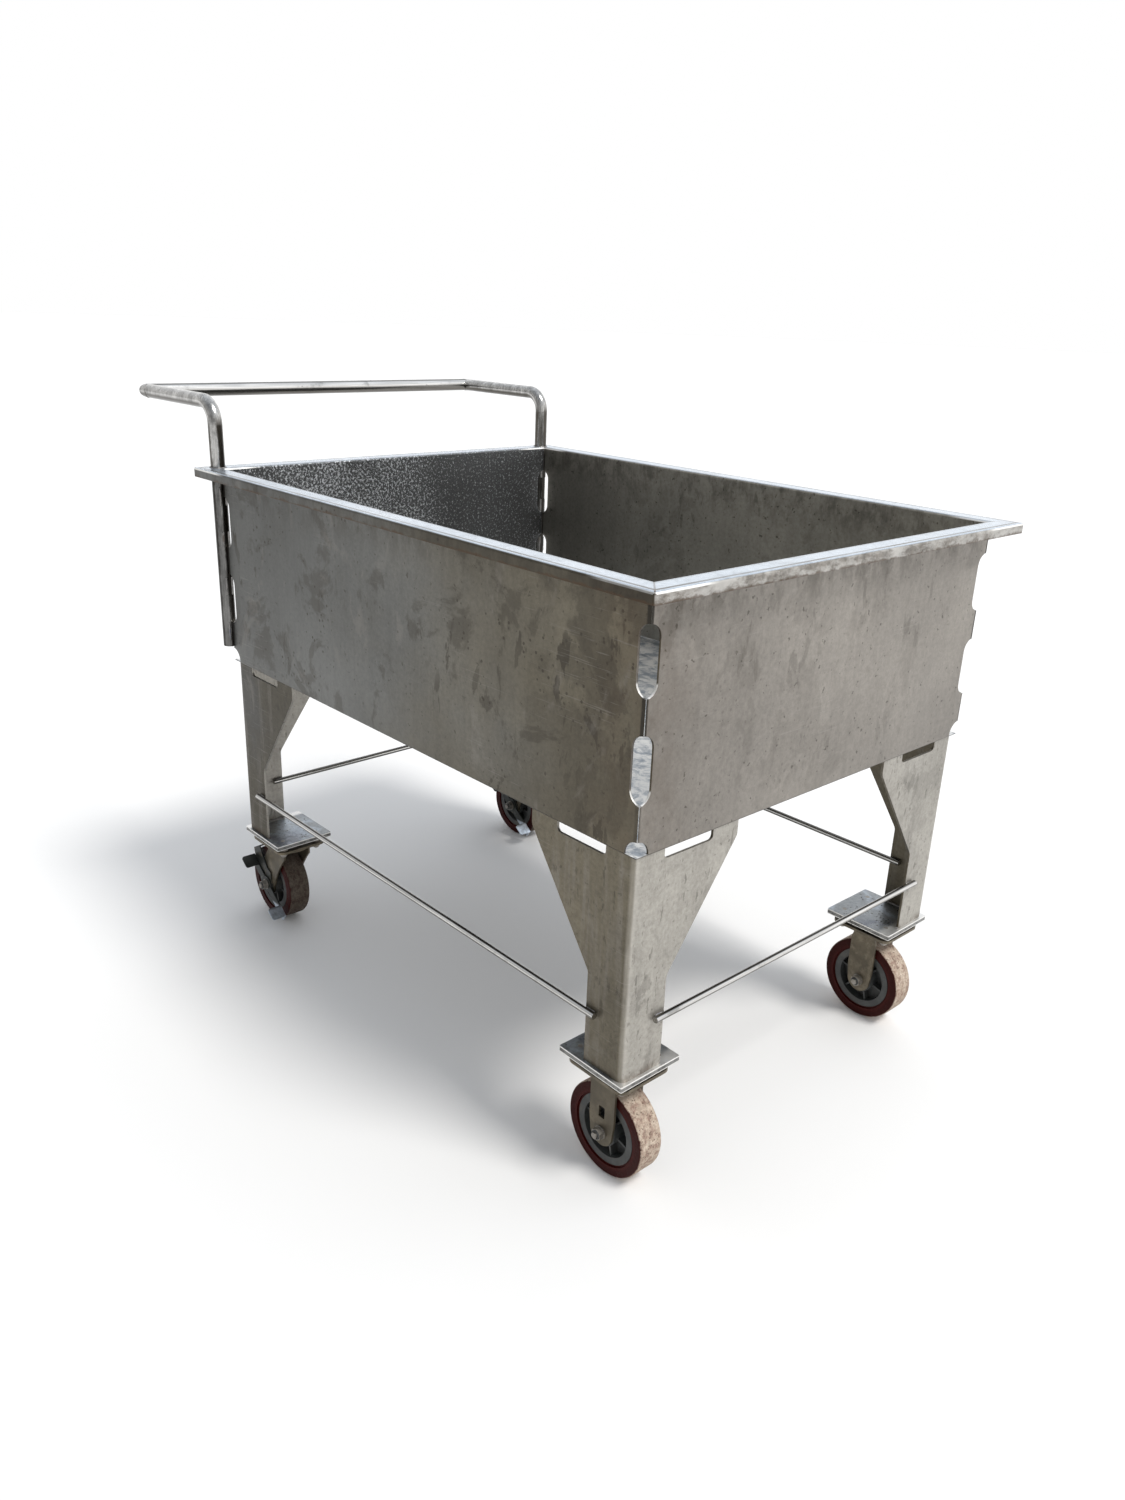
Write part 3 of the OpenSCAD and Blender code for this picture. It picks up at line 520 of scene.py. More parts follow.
    roughness = f.plus(f.spread(cloud, 0.34, 0.52), f.both(top, -0.16))
    roughness = f.plus(roughness, f.spread(f.noise(150.0, 4.0, 0.75), -0.05, 0.05))
    waves = f.relief(f.noise(5.0, 1.0, 0.4), 0.6, 9 * MM, under=f.soft_edges(0.9 * MM))
    fine = f.relief(grain, 0.22, 0.35 * MM, under=waves)
    return f.done(tint, roughness, f.relief(mark, 0.3, 0.2 * MM, under=fine))


def leg_finish(steel):
    """Bent leg plate with painted light and shade on its flanges, a painted highlight on its bend,
    faint upright streaks and small pits.
    """
    f = Finish("leg_plate_steel", metallic=0.75)
    corner_low, corner_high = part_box("leg_rear_near")[0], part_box("leg_front_far")[1]
    cloud = f.noise(5.0, 5.0, 0.55)
    # Painted light and shade: the side flanges take darker tones than the flanges facing front and
    # back, and the rear legs' side flanges are darkened further as shade.
    side = f.either(f.faces("Y", -1), f.faces("Y"))
    behind = f.both(side, f.past("X", 0.1, -0.2))
    warm = times(steel.warm_tone, 0.92)
    tint = f.blend(side, steel.leg_tone, f.blend(behind, warm, (0.118, 0.111, 0.096)))
    tint = f.blend(f.both(side, f.step(cloud, 0.40, 0.60)), tint, times(steel.warm_tone, 1.12))
    tint = f.scale(tint, f.minus(1.0, f.both(behind, 0.52)))
    streak = f.patches(0.50, 0.66, 46.0, 4.0, 0.6, stretch=(1, 1, 0.07))
    tint = f.lay(tint, steel.sun_tone, streak, 0.26)
    dashes = f.patches(0.62, 0.68, 120.0, 3.0, 0.6, stretch=(1, 1, 0.3))
    tint = f.lay(tint, steel.grime_and_shade, dashes, 0.45)
    tint, mark = mill_marks(f, tint, steel, smudges=0.30, scratches=0.3, specks=0.5)
    # Painted highlight along the bend.
    bend = f.both(f.either(*(f.near("X", c.x, BEND_REACH) for c in (corner_high, corner_low))),
                  f.either(*(f.near("Y", c.y, BEND_REACH) for c in (corner_high, corner_low))),
                  f.spread(f.noise(50.0, 5.0, 0.7, stretch=(1, 1, 0.2)), 0.35, 1.0))
    tint = f.lay(tint, times(steel.leg_tone, 1.7), bend, 0.38)
    foot = corner_low.z
    soot = f.both(f.past("Z", foot + 0.018, foot), f.patches(0.4, 0.6, 40.0, 4.0))
    tint = f.lay(tint, steel.rust, soot, 0.55)
    roughness = f.spread(cloud, 0.34, 0.52)
    waves = f.relief(f.noise(9.0, 1.0, 0.4), 0.5, 4 * MM, under=f.soft_edges(0.7 * MM))
    fine = f.relief(f.noise(190.0, 3.0, 0.7), 0.2, 0.3 * MM, under=waves)
    return f.done(tint, roughness, f.relief(mark, 0.3, 0.2 * MM, under=fine))


def foot_finish(steel):
    """Cleaner plate with painted highlights on its arrises, bright ends, painted shade underneath,
    dark spatter and bluish heat marks.
    """
    f = Finish("foot_plate_steel", metallic=0.8)
    up = f.faces("Z")
    edge = f.either(*(f.faces(name, sign) for name in "XY" for sign in (1, -1)))
    cloud = f.noise(14.0, 5.0, 0.6)
    under = f.faces("Z", -1)
    tint = f.blend(up, times(steel.leg_tone, 0.5), steel.foot_tone)
    # Painted shade on the underside, in the gap above the caster plate.
    tint = f.lay(tint, times(steel.grime_and_shade, 0.4), under, 0.85)
    heat = f.patches(0.46, 0.62, 10.0, 3.0, 0.5, twist=0.8)
    tint = f.lay(tint, (0.10, 0.11, 0.15), heat, 0.6)
    tint = f.lay(tint, steel.cool_tone, f.step(cloud, 0.5, 0.62), 0.6)
    tint = f.scale(tint, f.spread(f.noise(170.0, 4.0, 0.75), 0.78, 1.2))
    spatter = f.both(f.step(f.cells(120.0), 0.26, 0.14), f.patches(0.48, 0.56, 24.0, 2.0))
    tint = f.lay(tint, steel.grime_and_shade, spatter, 0.85)
    low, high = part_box("foot_plate_front_near")
    cut = f.blend(f.patches(0.46, 0.60, 70.0, 4.0, 0.7), times(steel.edge_tone, 0.27),
                  times(steel.edge_tone, 0.14))
    # Painted highlights along the top and bottom arrises of the cut edges.
    arris = f.either(f.near("Z", high.z, 2.6 * MM), f.near("Z", low.z, 1.6 * MM))
    tint = f.blend(edge, tint, f.blend(arris, cut, steel.edge_tone))
    ends = f.either(f.near("X", high.x, 26 * MM),
                    f.near("X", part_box("foot_plate_rear_near")[0].x, 20 * MM))
    strip = f.both(up, ends, f.spread(f.noise(30.0, 4.0), 0.6, 1.0))
    tint = f.lay(tint, steel.edge_tone, strip, 0.95)
    roughness = f.spread(cloud, 0.22, 0.48)
    pits = f.relief(spatter, 0.5, 0.4 * MM, under=f.soft_edges(1.0 * MM))
    return f.done(tint, roughness, f.relief(f.noise(180.0, 3.0), 0.15, 0.2 * MM, under=pits))


def tube_finish(name, steel, along, tint_scale=1.0, painted_dark_outlines=False):
    """Polished tube or rod with draw lines along an axis.

    An upright one is mottled, with painted dark sides, painted shade under its arms, and painted
    shade below the rim. With dark outlines, one has painted dark reflections along its top and its
    underside, which leave a bright core.
    """
    f = Finish(name, metallic=1.0)
    stretch = {"X": (0.02, 1, 1), "Y": (1, 0.02, 1), "Z": (1, 1, 0.02)}[along]
    drawn = f.noise(420.0, 3.0, 0.6, stretch=stretch)
    bright = times(steel.tube_tone, tint_scale)
    tint = f.blend(f.step(drawn, 0.40, 0.68), times(bright, 0.72), bright)
    stain = f.patches(0.56, 0.74, 22.0, 5.0, 0.65)
    tint = f.lay(tint, steel.shade_tone, stain, 0.45)
    nick = f.both(f.step(f.cells(70.0), 0.12, 0.05), f.patches(0.5, 0.6, 9.0, 2.0))
    tint = f.lay(tint, steel.grime_and_shade, nick, 0.6)
    if along == "Z":
        mottle = f.noise(60.0, 6.0, 0.75, stretch=(1, 1, 0.35))
        tint = f.scale(tint, f.spread(mottle, 0.55, 1.25))
        across = f.plus(f.both(f.slope("X"), 0.68), f.both(f.slope("Y"), 0.73))
        ragged = f.plus(f.apart(across, 0.0), f.spread(mottle, 0.15, -0.15))
        rim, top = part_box("tub_shell")[1].z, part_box("handle_crossbar")[0].z
        upright = f.past("Z", top - 5 * MM, top - 30 * MM)
        # Painted shade: the uprights' sides and the arms' undersides are darkened.
        sides = f.both(f.step(ragged, 0.30, 0.62), upright)
        under = f.both(f.step(f.slope("Z"), -0.05, -0.45), f.minus(1.0, upright))
        tint = f.lay(tint, steel.grime_and_shade, f.plus(sides, under), 0.9)
        # Painted shade on the tube below the rim.
        below = f.past("Z", rim - 5 * MM, rim - 25 * MM)
        tint = f.scale(tint, f.minus(1.0, f.both(below, 0.68)))
    # Painted dark reflections along the top and the underside, which leave a bright core.
    if painted_dark_outlines:
        below = f.step(f.slope("Z"), 0.28, -0.20)
        above = f.step(f.slope("Z"), 0.74, 0.92)
        tint = f.lay(tint, steel.grime_and_shade, f.either(below, above), 0.82)
    roughness = f.plus(f.both(f.noise(15.0, 4.0), 0.22), 0.10)
    return f.done(tint, roughness, f.relief(drawn, 0.15, 0.08 * MM))


def pressed_finish(name, tone, steel, metallic=0.55, dust=0.4):
    """Pressed caster steel, satin under a film of dust."""
    f = Finish(name, metallic=metallic)
    cloud = f.noise(30.0, 5.0, 0.6)
    tint = f.blend(f.step(cloud, 0.35, 0.68), times(tone, 0.72), times(tone, 1.18))
    film = f.both(f.patches(0.46, 0.66, 55.0, 5.0, 0.7), f.patches(0.3, 0.6, 12.0, 2.0))
    tint = f.lay(tint, (0.30, 0.25, 0.18), film, dust)
    spots = f.both(f.step(f.cells(170.0), 0.20, 0.10), f.patches(0.48, 0.6, 30.0, 2.0))
    tint = f.lay(tint, steel.grime_and_shade, spots, 0.6)
    roughness = f.plus(f.both(cloud, 0.28), 0.28)
    edge = f.soft_edges(0.6 * MM)
    return f.done(tint, roughness, f.relief(f.noise(260.0, 3.0), 0.12, 0.12 * MM, under=edge))


def weld_finish(steel):
    """Weld metal: bright ripples, with straw and blue heat colour at random."""
    f = Finish("weld_metal", metallic=0.8)
    cloud = f.noise(90.0, 4.0, 0.6)
    tint = f.blend(f.step(cloud, 0.35, 0.65), times(steel.weld_tone, 0.55), steel.weld_tone)
    tint = f.lay(tint, steel.rust, f.patches(0.55, 0.7, 45.0, 2.0), 0.6)
    tint = f.lay(tint, (0.10, 0.13, 0.22), f.patches(0.60, 0.7, 33.0, 2.0), 0.4)
    roughness = f.plus(f.both(cloud, 0.3), 0.22)
    return f.done(tint, roughness, f.relief(f.noise(500.0, 3.0), 0.25, 0.2 * MM))


def tyre_finish(name, wheels, axle, radius, half_width, shade=1.0):
    """Dark red tyre with a dusty, chipped tread; axle is the wheel's middle at rest."""
    f = Finish(name)
    f.shader.inputs["Specular IOR Level"].default_value = 0.09
    away_x = f.maths("POWER", f.apart(f.axis("X"), axle.x), 2.0)
    away_z = f.maths("POWER", f.apart(f.axis("Z"), axle.z), 2.0)
    out = f.maths("SQRT", f.plus(away_x, away_z))
    across = f.apart(f.axis("Y"), axle.y)
    ragged = f.both(f.minus(f.noise(110.0, 5.0, 0.7), 0.5), 7 * MM)
    tread = f.both(f.step(f.plus(out, ragged), radius - 2.4 * MM, radius - 1.2 * MM),
                   f.step(f.plus(across, ragged), half_width, half_width - 2.0 * MM))
    worn = f.patches(0.44, 0.60, 95.0, 6.0, 0.75)
    dust = f.blend(worn, times(wheels.tread_dust, shade), times(wheels.tread_worn, shade))
    pale = f.patches(0.46, 0.66, 48.0, 6.0, 0.75)
    chalk = times((0.52, 0.45, 0.37), 1.15 * shade)
    dust = f.lay(dust, chalk, pale, 0.6)
    dust = f.scale(dust, f.spread(f.noise(230.0, 4.0, 0.8), 0.68, 1.26))
    grit = f.both(f.step(f.cells(210.0), 0.30, 0.18), f.patches(0.42, 0.54, 45.0, 3.0))
    dust = f.lay(dust, (0.09, 0.06, 0.045), grit, 0.8)
    film = f.patches(0.55, 0.75, 70.0, 5.0, 0.7)
    ring = f.step(out, radius - 8 * MM, radius - 18 * MM)
    side = f.blend(ring, wheels.tyre_side, wheels.tyre_ring)
    side = f.lay(side, (0.14, 0.07, 0.05), film, 0.08)
    tint = f.blend(tread, side, dust)
    roughness = f.plus(f.both(tread, 0.42), f.both(film, 0.12))
    roughness = f.plus(roughness, 0.42)
    nicks = f.relief(worn, 0.35, 0.5 * MM)
    return f.done(tint, roughness, f.relief(f.noise(260.0, 4.0, 0.7), 0.2, 0.25 * MM, under=nicks))


def hub_finish(wheels):
    """Grey moulded plastic with dust in its grain."""
    f = Finish("hub_plastic")
    cloud = f.noise(60.0, 5.0, 0.65)
    tint = f.blend(f.step(cloud, 0.40, 0.70), wheels.hub_tone, times(wheels.hub_tone, 1.7))
    tint = f.lay(tint, (0.16, 0.14, 0.11), f.patches(0.55, 0.75, 25.0, 4.0), 0.35)
    roughness = f.plus(f.both(cloud, 0.2), 0.38)
    edge = f.soft_edges(0.8 * MM)
    return f.done(tint, roughness, f.relief(f.noise(420.0, 2.0), 0.18, 0.1 * MM, under=edge))


def floor_finish(stage):
    """Plain pale studio floor, barely mottled."""
    f = Finish("studio_floor")
    tint = f.blend(f.noise(0.7, 4.0, 0.5), times(stage.floor_colour, 0.985), stage.floor_colour)
    return f.done(tint, 0.85, f.relief(f.noise(160.0, 3.0), 0.02, 0.3 * MM))


def dress(node, material):
    """Gives a CAD node its finish."""
    mesh = NODES[node].data
    mesh.materials.clear()
    mesh.materials.append(material)


def dress_all(prefix, material):
    """Gives a finish to every CAD node whose name starts with the prefix."""
    for node in NODES:
        if node.startswith(prefix):
            dress(node, material)


# ---- pieces built here ----


def add_piece(name, bm, material, like):
    """Makes an object of bm in the given material, parented to the empty of the body of the CAD
    node named by like.
    """
    bmesh.ops.recalc_face_normals(bm, faces=bm.faces)
    mesh = bpy.data.meshes.new(name)
    bm.to_mesh(mesh)
    bm.free()
    mesh.shade_smooth()
    piece = bpy.data.objects.new(name, mesh)
    bpy.context.scene.collection.objects.link(piece)
    mesh.materials.append(material)
    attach(piece, BODY_OF[like])
    return piece


def circle(count, closed=False):
    """Angles at equal steps round a circle, with the first one again at the end if closed."""
    return [math.tau * k / count for k in range(count + closed)]


def heading(turned, tilt):
    """The direction at an angle in plan and a tilt above level."""
    level = math.cos(tilt)
    return Vector((level * math.cos(turned), level * math.sin(turned), math.sin(tilt)))


def sweep(bm, rings):
    """Skins a row of rings of equally many points, and closes both ends."""
    rows = [[bm.verts.new(p) for p in ring] for ring in rings]
    count = len(rows[0])
    for a, b in zip(rows, rows[1:]):
        for i in range(count):
            bm.faces.new((a[i], a[(i + 1) % count], b[(i + 1) % count], b[i]))
    bm.faces.new(rows[0])
    bm.faces.new(list(reversed(rows[-1])))


def resample(points, pitch):
    """Points at equal steps along a polyline."""
    points = [Vector(p) for p in points]
    out, carry = [], 0.0
    for a, b in zip(points, points[1:]):
        run = (b - a).length
        at = carry
        while at < run:
            out.append(a.lerp(b, at / run))
            at += pitch
        carry = at - run
    out.append(points[-1])
    return out


def bead(bm, points, radius, ripple, chance):
    """Lays a rippled weld bead along a polyline, thin at both ends."""
    path = resample(points, ripple / 4)
    if len(path) < 6:
        return
    rings, up = [], None
    for i, at in enumerate(path):
        ahead = (path[min(i + 1, len(path) - 1)] - path[max(i - 1, 0)]).normalized()
        if up is None:
            up = ahead.orthogonal()
        up = (up - ahead * up.dot(ahead)).normalized()
        out = ahead.cross(up)
        end = min(i, len(path) - 1 - i)
        swell = 0.86 + 0.14 * abs(math.sin(math.pi * i / 4)) + chance.uniform(-0.05, 0.05)
        size = radius * swell * min(1.0, 0.25 + 0.25 * end)
        wander = up * chance.uniform(-0.1, 0.1) * radius
        rings.append([at + wander + (up * math.cos(t) + out * math.sin(t)) * size
                      for t in circle(10)])
    sweep(bm, rings)


def lathe(bm, profile, at, direction, steps=32):
    """Turns a profile of (radius, distance along) pairs about an axis through at."""
    turned = direction.normalized().to_track_quat("Z", "Y").to_matrix()
    rings = [[at + turned @ Vector((r * math.cos(a), r * math.sin(a), h))
              for a in circle(steps)] for r, h in profile]
    sweep(bm, rings)


def welds():
    return bpy.context.scene.trolley_welds


def steel():
    return bpy.context.scene.trolley_steel


def weld_material():
    return bpy.data.materials.get("weld_metal") or weld_finish(steel())


def leg_corner(end, side):
    """Outer corner of a leg at its foot, the height of its top, and signs towards the middle."""
    low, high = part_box(f"leg_{end}_{side}")
    x = high.x if ENDS[end] > 0 else low.x
    y = high.y if SIDES[side] > 0 else low.y
    return Vector((x, y, low.z)), high.z, -ENDS[end], -SIDES[side]


def middle(node):
    low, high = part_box(node)
    return (low + high) / 2


# ---- operators ----


class Builder(bpy.types.Operator):
    """What every step of the trolley shares"""

    bl_options = {"REGISTER", "UNDO"}

    def execute(self, context):
        self.build(context.scene)
        return {"FINISHED"}

    def build(self, scene):
        raise NotImplementedError


class TROLLEY_OT_stage(Builder):
    """Lays the floor and sets up the sky, the sun and the camera"""

    bl_idname = "trolley.stage"
    bl_label = "Stage"

    def build(self, scene):
        stage = scene.trolley_stage
        self.floor(stage)
        self.sky(scene, stage)
        self.sun(scene, stage)
        self.camera(scene, stage)
        scene.view_settings.view_transform = "Standard"

    def floor(self, stage):
        bm = bmesh.new()
        bmesh.ops.create_circle(bm, cap_ends=True, radius=stage.floor_reach, segments=96)
        mesh = bpy.data.meshes.new("studio_floor")
        bm.to_mesh(mesh)
        bm.free()
        mesh.materials.append(floor_finish(stage))
        floor = bpy.data.objects.new("studio_floor", mesh)
        bpy.context.scene.collection.objects.link(floor)

    def sky(self, scene, stage):
        """White to the camera; to the trolley, bluer overhead and dimmer on the near side."""
        world = bpy.data.worlds.new("studio_sky")
        world.use_nodes = True
        tree = world.node_tree
        add, link = tree.nodes.new, tree.links.new
        tree.nodes.clear()
        split = add("ShaderNodeSeparateXYZ")
        link(add("ShaderNodeTexCoord").outputs["Generated"], split.inputs[0])
        tint = add("ShaderNodeMix")
        tint.data_type = "RGBA"
        link(map_range(tree, split.outputs["Z"], (0.15, 0.9)), tint.inputs["Factor"])
        tint.inputs["A"].default_value = (*stage.sky_low, 1.0)
        tint.inputs["B"].default_value = (*stage.sky_high, 1.0)
        powers = (stage.sky_power * (1.0 - stage.sky_dim), stage.sky_power)
        power = map_range(tree, split.outputs["Y"], (-0.8, 0.3), powers, smooth=False)
        back = add("ShaderNodeBackground")
        link(tint.outputs["Result"], back.inputs["Color"])
        link(power, back.inputs["Strength"])
        plain = add("ShaderNodeBackground")
        plain.inputs["Color"].default_value = (*stage.backdrop, 1.0)
        either = add("ShaderNodeMixShader")
        link(add("ShaderNodeLightPath").outputs["Is Camera Ray"], either.inputs[0])
        link(back.outputs[0], either.inputs[1])
        link(plain.outputs[0], either.inputs[2])
        link(either.outputs[0], add("ShaderNodeOutputWorld").inputs[0])
        scene.world = world

    def sun(self, scene, stage):
        light = bpy.data.lights.new("studio_sun", "SUN")
        light.energy = stage.sun_power
        light.angle = stage.sun_spread
        light.color = (1.0, 0.975, 0.94)
        lamp = bpy.data.objects.new("studio_sun", light)
        towards = heading(stage.sun_heading, stage.sun_height)
        lamp.rotation_euler = towards.to_track_quat("Z", "Y").to_euler()
        lamp.location = towards * 4
        scene.collection.objects.link(lamp)

    def camera(self, scene, stage):
        data = bpy.data.cameras.new("studio_camera")
        data.sensor_width = 36.0
        data.lens = stage.camera_lens
        data.clip_end = 200.0
        view = heading(stage.camera_heading, stage.camera_pitch)
        right = view.cross(Vector((0, 0, 1))).normalized()
        above = right.cross(view)
        roll = Matrix.Rotation(-stage.camera_roll, 3, view)
        right, above = roll @ right, roll @ above
        camera = bpy.data.objects.new("studio_camera", data)
        turned = Matrix((right, above, -view)).transposed().to_4x4()
        camera.matrix_world = Matrix.Translation(stage.camera_at) @ turned
        scene.collection.objects.link(camera)
        scene.camera = camera


class TROLLEY_OT_tub(Builder):
    """Finishes the folded tub"""

    bl_idname = "trolley.tub"
    bl_label = "Tub"

    def build(self, scene):
        dress("tub_shell", sheet_finish(steel()))


class TROLLEY_OT_handle(Builder):
    """Finishes the push handle, with its mitre welds and the beads that hold it to the tub"""

    bl_idname = "trolley.handle"
    bl_label = "Push handle"

    def build(self, scene):
        dress_all("handle_side", tube_finish("handle_side_tube", steel(), "Z", 0.95))
        dress("handle_crossbar",
              tube_finish("handle_crossbar_tube", steel(), "Y", 1.3, painted_dark_outlines=True))
        bar_low, bar_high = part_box("handle_crossbar")
        radius = (bar_high.z - bar_low.z) / 2
        axis_x, axis_z = (bar_low.x + radius), (bar_low.z + bar_high.z) / 2
        tub_low, tub_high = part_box("tub_shell")
        weld_x = tub_low.x + RIM_REACH - 1.2 * MM
        chance = random.Random(11)
        ripple = welds().ripple
        for side, sign in SIDES.items():
            node = f"handle_side_{side}"
            low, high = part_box(node)
            y = (low.y + high.y) / 2
            bm = bmesh.new()
            slant, up = Vector((1, sign, 0)), Vector((0, 0, 1))
            ring = [Vector((axis_x, y, axis_z)) + slant * (radius * math.cos(a))
                    + up * (radius * math.sin(a)) for a in circle(48, closed=True)]
            bead(bm, ring, MITRE_BEAD, ripple, chance)
            for vert in bm.verts:
                vert.co.x = max(vert.co.x, CAD_BOX[0].x)
                vert.co.z = min(vert.co.z, CAD_BOX[1].z)
            upright_x, reach = high.x - radius, radius + 1.0 * MM
            collar = [(upright_x + reach * math.cos(a), y + reach * math.sin(a), tub_high.z)
                      for a in circle(48, closed=True)]
            bead(bm, collar, COLLAR_BEAD, ripple, chance)
            for dy in (-1, 1):
                inside = y + dy * STITCH_SPREAD
                for start in STITCH_STARTS:
                    bottom = low.z + start
                    bead(bm, [(weld_x, inside, bottom), (weld_x, inside, bottom + STITCH_LENGTH)],
                         STITCH_BEAD, ripple, chance)
            add_piece(f"handle_welds_{side}", bm, weld_material(), node)


class TROLLEY_OT_legs(Builder):
    """Finishes the legs, with fillet beads at the foot and under the tub"""

    bl_idname = "trolley.legs"
    bl_label = "Legs"

    def build(self, scene):
        dress_all("leg_", leg_finish(steel()))
        size = welds()
        for number, (end, side) in enumerate(CORNERS):
            chance = random.Random(31 + number)
            at, top, ix, iy = leg_corner(end, side)
            bm = bmesh.new()

            def on(across, along, z):
                return (at.x + ix * across, at.y + iy * along, z)

            inner, wide = size.plate + 0.6 * MM, size.flange
            foot = at.z + 0.4 * MM
            bead(bm, [on(wide - 3 * MM, inner, foot), on(14 * MM, inner, foot),
                      on(inner + 2 * MM, inner + 2 * MM, foot), on(inner, 14 * MM, foot),
                      on(inner, wide - 3 * MM, foot)], size.fillet, size.ripple, chance)
            for across, along, dx, dy in ((wide, 2 * MM, 0, 1), (2 * MM, wide, 1, 0)):
                bead(bm, [on(across - dx * 2 * MM, along - dy * 2 * MM, foot),
                          on(across + dx * 3 * MM, along + dy * 3 * MM, foot)],
                     size.tack, size.ripple / 2, chance)
            head = top - 0.6 * MM
            for start, stop in ((12 * MM, 46 * MM), (size.flare - 46 * MM, size.flare - 4 * MM)):
                bead(bm, [on(start, inner, head), on(stop, inner, head)],
                     size.fillet, size.ripple, chance)
                bead(bm, [on(inner, start, head), on(inner, stop, head)],
                     size.fillet, size.ripple, chance)
            add_piece(f"leg_welds_{end}_{side}", bm, weld_material(), f"leg_{end}_{side}")


class TROLLEY_OT_feet(Builder):
    """Finishes the foot plates, with spatter beside the welds"""

    bl_idname = "trolley.feet"
    bl_label = "Foot plates"

    def build(self, scene):
        dress_all("foot_plate", foot_finish(steel()))
        for number, (end, side) in enumerate(CORNERS):
            chance = random.Random(71 + number)
            low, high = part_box(f"foot_plate_{end}_{side}")
            at, _, ix, iy = leg_corner(end, side)
            bm = bmesh.new()
            for _ in range(SPATTER_COUNT):
                x = at.x + ix * chance.uniform(12 * MM, 108 * MM)
                y = at.y + iy * chance.uniform(12 * MM, 100 * MM)
                r = chance.uniform(0.5, 1.5) * MM
                if low.x + r < x < high.x - r and low.y + r < y < high.y - r:
                    lathe(bm, [(r, -0.1 * MM), (0.85 * r, 0.35 * r), (0.5 * r, 0.6 * r),
                               (0.1 * r, 0.7 * r)], Vector((x, y, high.z)), Vector((0, 0, 1)), 10)
            add_piece(f"weld_spatter_{end}_{side}", bm, weld_material(), f"foot_plate_{end}_{side}")


class TROLLEY_OT_rods(Builder):
    """Finishes the tie rods, with a short bead above and below each end"""

    bl_idname = "trolley.rods"
    bl_label = "Tie rods"

    def build(self, scene):
        size = welds()
        for name, along in (("near", 0), ("far", 0), ("front", 1), ("rear", 1)):
            node = f"tie_rod_{name}"
            dress(node, tube_finish(node + "_steel", steel(), "XY"[along], 1.3, painted_dark_outlines=True))
            low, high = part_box(node)
            across = 1 - along
            centre = (low + high) / 2
            radius = (high.z - low.z) / 2
            legs = [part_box(f"leg_{e}_{s}") for e, s in CORNERS]
            outer = min((b[i][across] for b in legs for i in (0, 1)),
                        key=lambda v: abs(abs(v - centre[across]) - radius))
            face = centre[across] + math.copysign(radius, outer - centre[across])
            chance = random.Random(5 + along)
            bm = bmesh.new()
            for end, inward in ((low[along], 1), (high[along], -1)):
                for dz in (-1, 1):
                    a, b = Vector(centre), Vector(centre)
                    a[along], b[along] = end + inward * 4 * MM, end + inward * 20 * MM
                    a[across] = b[across] = face + math.copysign(0.4 * MM, centre[across] - face)
                    a.z = b.z = centre.z + dz * 2.7 * MM
                    bead(bm, [a, b], 1.5 * MM, size.ripple, chance)
            add_piece(f"tie_rod_welds_{name}", bm, weld_material(), node)


class TROLLEY_OT_hardware(Builder):
    """Finishes studs, nuts, spacers and axle bolts, with domed caps and nylon collars"""

    bl_idname = "trolley.hardware"
    bl_label = "Fasteners"

    def build(self, scene):
        turned = pressed_finish("turned_steel", steel().bolt_tone, steel(), metallic=0.85,
                                dust=0.25)
        for prefix in ("mounting_", "plate_spacers", "axle_bolt", "axle_nut", "kingpin"):
            dress_all(prefix, turned)
        ground = tube_finish("bearing_steel", steel(), "Y")
        for prefix in ("bearings", "axle_sleeve", "swivel_balls"):
            dress_all(prefix, ground)
        self.caps(turned)
        self.collars(hub_finish(scene.trolley_wheels))

    def caps(self, material):
        """A dome over each stud's lower end."""
        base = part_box("mounting_nuts")[0].z
        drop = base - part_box("mounting_studs")[0].z + 1.2 * MM
        r = 5.6 * MM
        bm = bmesh.new()
        for end, side in CORNERS:
            at = middle(f"top_plate_{end}_{side}")
            for x in (-STUD_X, STUD_X):
                for y in (-STUD_Y, STUD_Y):
                    lathe(bm, [(r, -0.2 * MM), (r, 0.30 * drop), (0.88 * r, 0.62 * drop),
                               (0.6 * r, 0.88 * drop), (0.15 * r, drop)],
                          Vector((at.x + x, at.y + y, base)), Vector((0, 0, -1)), 24)
        add_piece("stud_caps", bm, material, "mounting_nuts")

    def collars(self, material):
        """The raised nylon ring of each axle's lock nut."""
        for end, side in CORNERS:
            node = f"axle_nut_{end}_{side}"
            low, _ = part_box(node)
            at = middle(f"axle_bolt_{end}_{side}")
            bm = bmesh.new()
            lathe(bm, [(7.6 * MM, -0.3 * MM), (7.6 * MM, 0.9 * MM), (7.0 * MM, 1.6 * MM),
                       (5.6 * MM, 1.7 * MM), (5.2 * MM, 0.6 * MM), (5.2 * MM, -0.3 * MM)],
                  Vector((at.x, low.y, at.z)), Vector((0, -1, 0)), 40)
            add_piece(f"axle_nut_collar_{end}_{side}", bm, material, node)


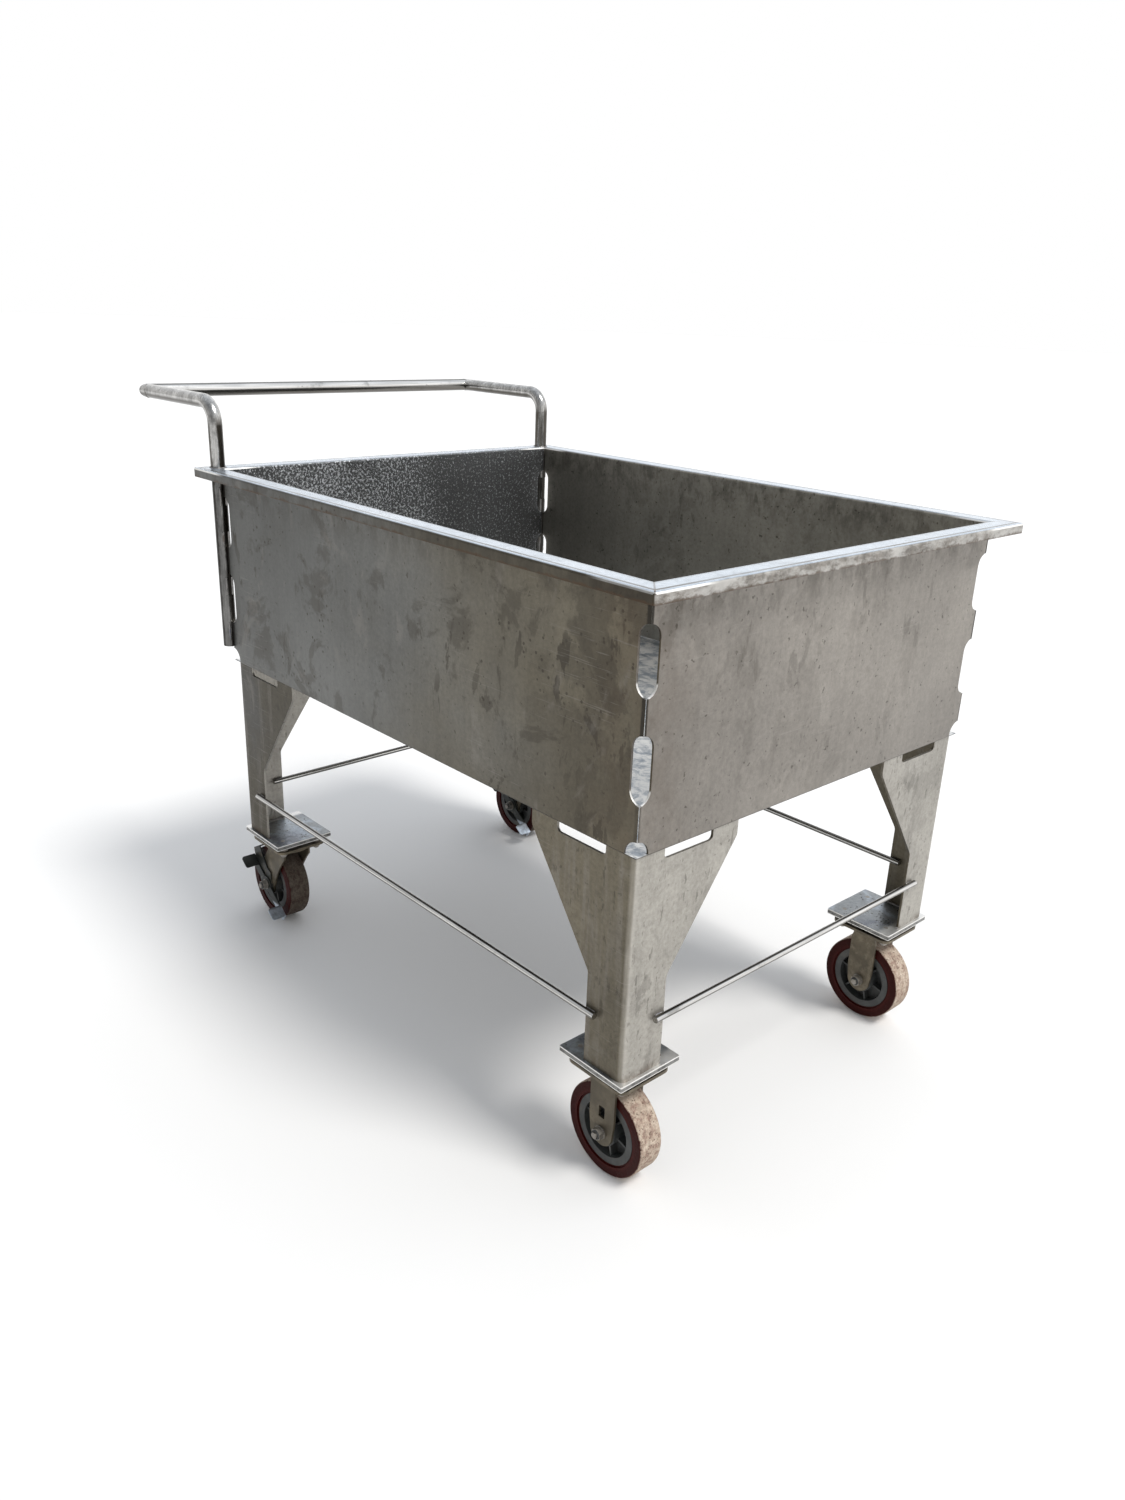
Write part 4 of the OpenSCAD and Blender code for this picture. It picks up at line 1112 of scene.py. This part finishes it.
class TROLLEY_OT_casters(Builder):
    """Finishes the casters' plates, forks and brakes"""

    bl_idname = "trolley.casters"
    bl_label = "Casters and brakes"

    def build(self, scene):
        body = pressed_finish("caster_steel", steel().caster_tone, steel())
        dress_all("top_plate", body)
        dress_all("fork", body)
        dress_all("brake_shoe", pressed_finish("brake_shoe_steel", steel().lever_tone, steel()))
        dress_all("brake_lever", self.lever_finish())

    def lever_finish(self):
        """Dark pads above, their tone partly standing for the dark surroundings they reflect, with
        worn patches; below, a pad painted bright as a reflection of the sky.
        """
        f = Finish("brake_lever_steel", metallic=0.75)
        tone = steel().lever_tone
        cloud = f.noise(34.0, 6.0, 0.65)
        tint = f.scale(tone, f.spread(cloud, 0.55, 1.3))
        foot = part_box("brake_lever_rear_near")[0].z
        # Painted reflection: the lowest pad is painted bright as the sky it reflects.
        pad = f.past("Z", foot + 32 * MM, foot + 26 * MM)
        bright = f.scale(steel().cool_tone, f.spread(f.noise(60.0, 5.0, 0.7), 0.55, 1.3))
        tint = f.blend(pad, tint, bright)
        worn = f.both(f.patches(0.60, 0.68, 48.0, 6.0, 0.7), f.minus(1.0, pad))
        tint = f.lay(tint, steel().bolt_tone, worn, 0.5)
        edge = f.soft_edges(0.7 * MM)
        return f.done(tint, f.spread(cloud, 0.28, 0.5),
                      f.relief(f.noise(220.0, 3.0), 0.15, 0.15 * MM, under=edge))


class TROLLEY_OT_wheels(Builder):
    """Finishes the tyres and hubs"""

    bl_idname = "trolley.wheels"
    bl_label = "Wheels"

    def build(self, scene):
        wheels = scene.trolley_wheels
        hubs = bpy.data.materials.get("hub_plastic") or hub_finish(wheels)
        for end, side in CORNERS:
            node = f"tyre_{end}_{side}"
            low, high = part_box(node)
            # The rear treads are painted darker, as shade.
            shade = 1.0 if end == "front" else REAR_PAINTED_SHADE
            dress(node, tyre_finish(f"{node}_rubber", wheels, middle(node),
                                    (high.z - low.z) / 2, (high.y - low.y) / 2, shade))
            dress(f"hub_{end}_{side}", hubs)


class TROLLEY_PT_panel(bpy.types.Panel):
    """Lists the steps of the trolley"""

    bl_idname = "TROLLEY_PT_panel"
    bl_label = "Tub trolley"
    bl_space_type = "VIEW_3D"
    bl_region_type = "UI"
    bl_category = "Trolley"

    def draw(self, context):
        for step in STEPS:
            self.layout.operator(step.bl_idname, text=step.bl_label)
        for name, group in GROUPS.items():
            box = self.layout.box()
            box.label(text=group.__doc__)
            for key in group.__annotations__:
                box.prop(getattr(context.scene, name), key)


STEPS = (TROLLEY_OT_stage, TROLLEY_OT_tub, TROLLEY_OT_handle, TROLLEY_OT_legs, TROLLEY_OT_feet,
         TROLLEY_OT_rods, TROLLEY_OT_hardware, TROLLEY_OT_casters, TROLLEY_OT_wheels)
CLASSES = (*GROUPS.values(), *STEPS, TROLLEY_PT_panel)


def register():
    for cls in CLASSES:
        bpy.utils.register_class(cls)
    for name, group in GROUPS.items():
        setattr(bpy.types.Scene, name, bpy.props.PointerProperty(type=group))


def unregister():
    for name in GROUPS:
        delattr(bpy.types.Scene, name)
    for cls in reversed(CLASSES):
        bpy.utils.unregister_class(cls)


def main():
    register()
    for step in STEPS:
        group, action = step.bl_idname.split(".")
        result = getattr(getattr(bpy.ops, group), action)()
        if result != {"FINISHED"}:
            raise RuntimeError(f"{step.bl_label} didn't finish")


if __name__ == "__main__":
    main()
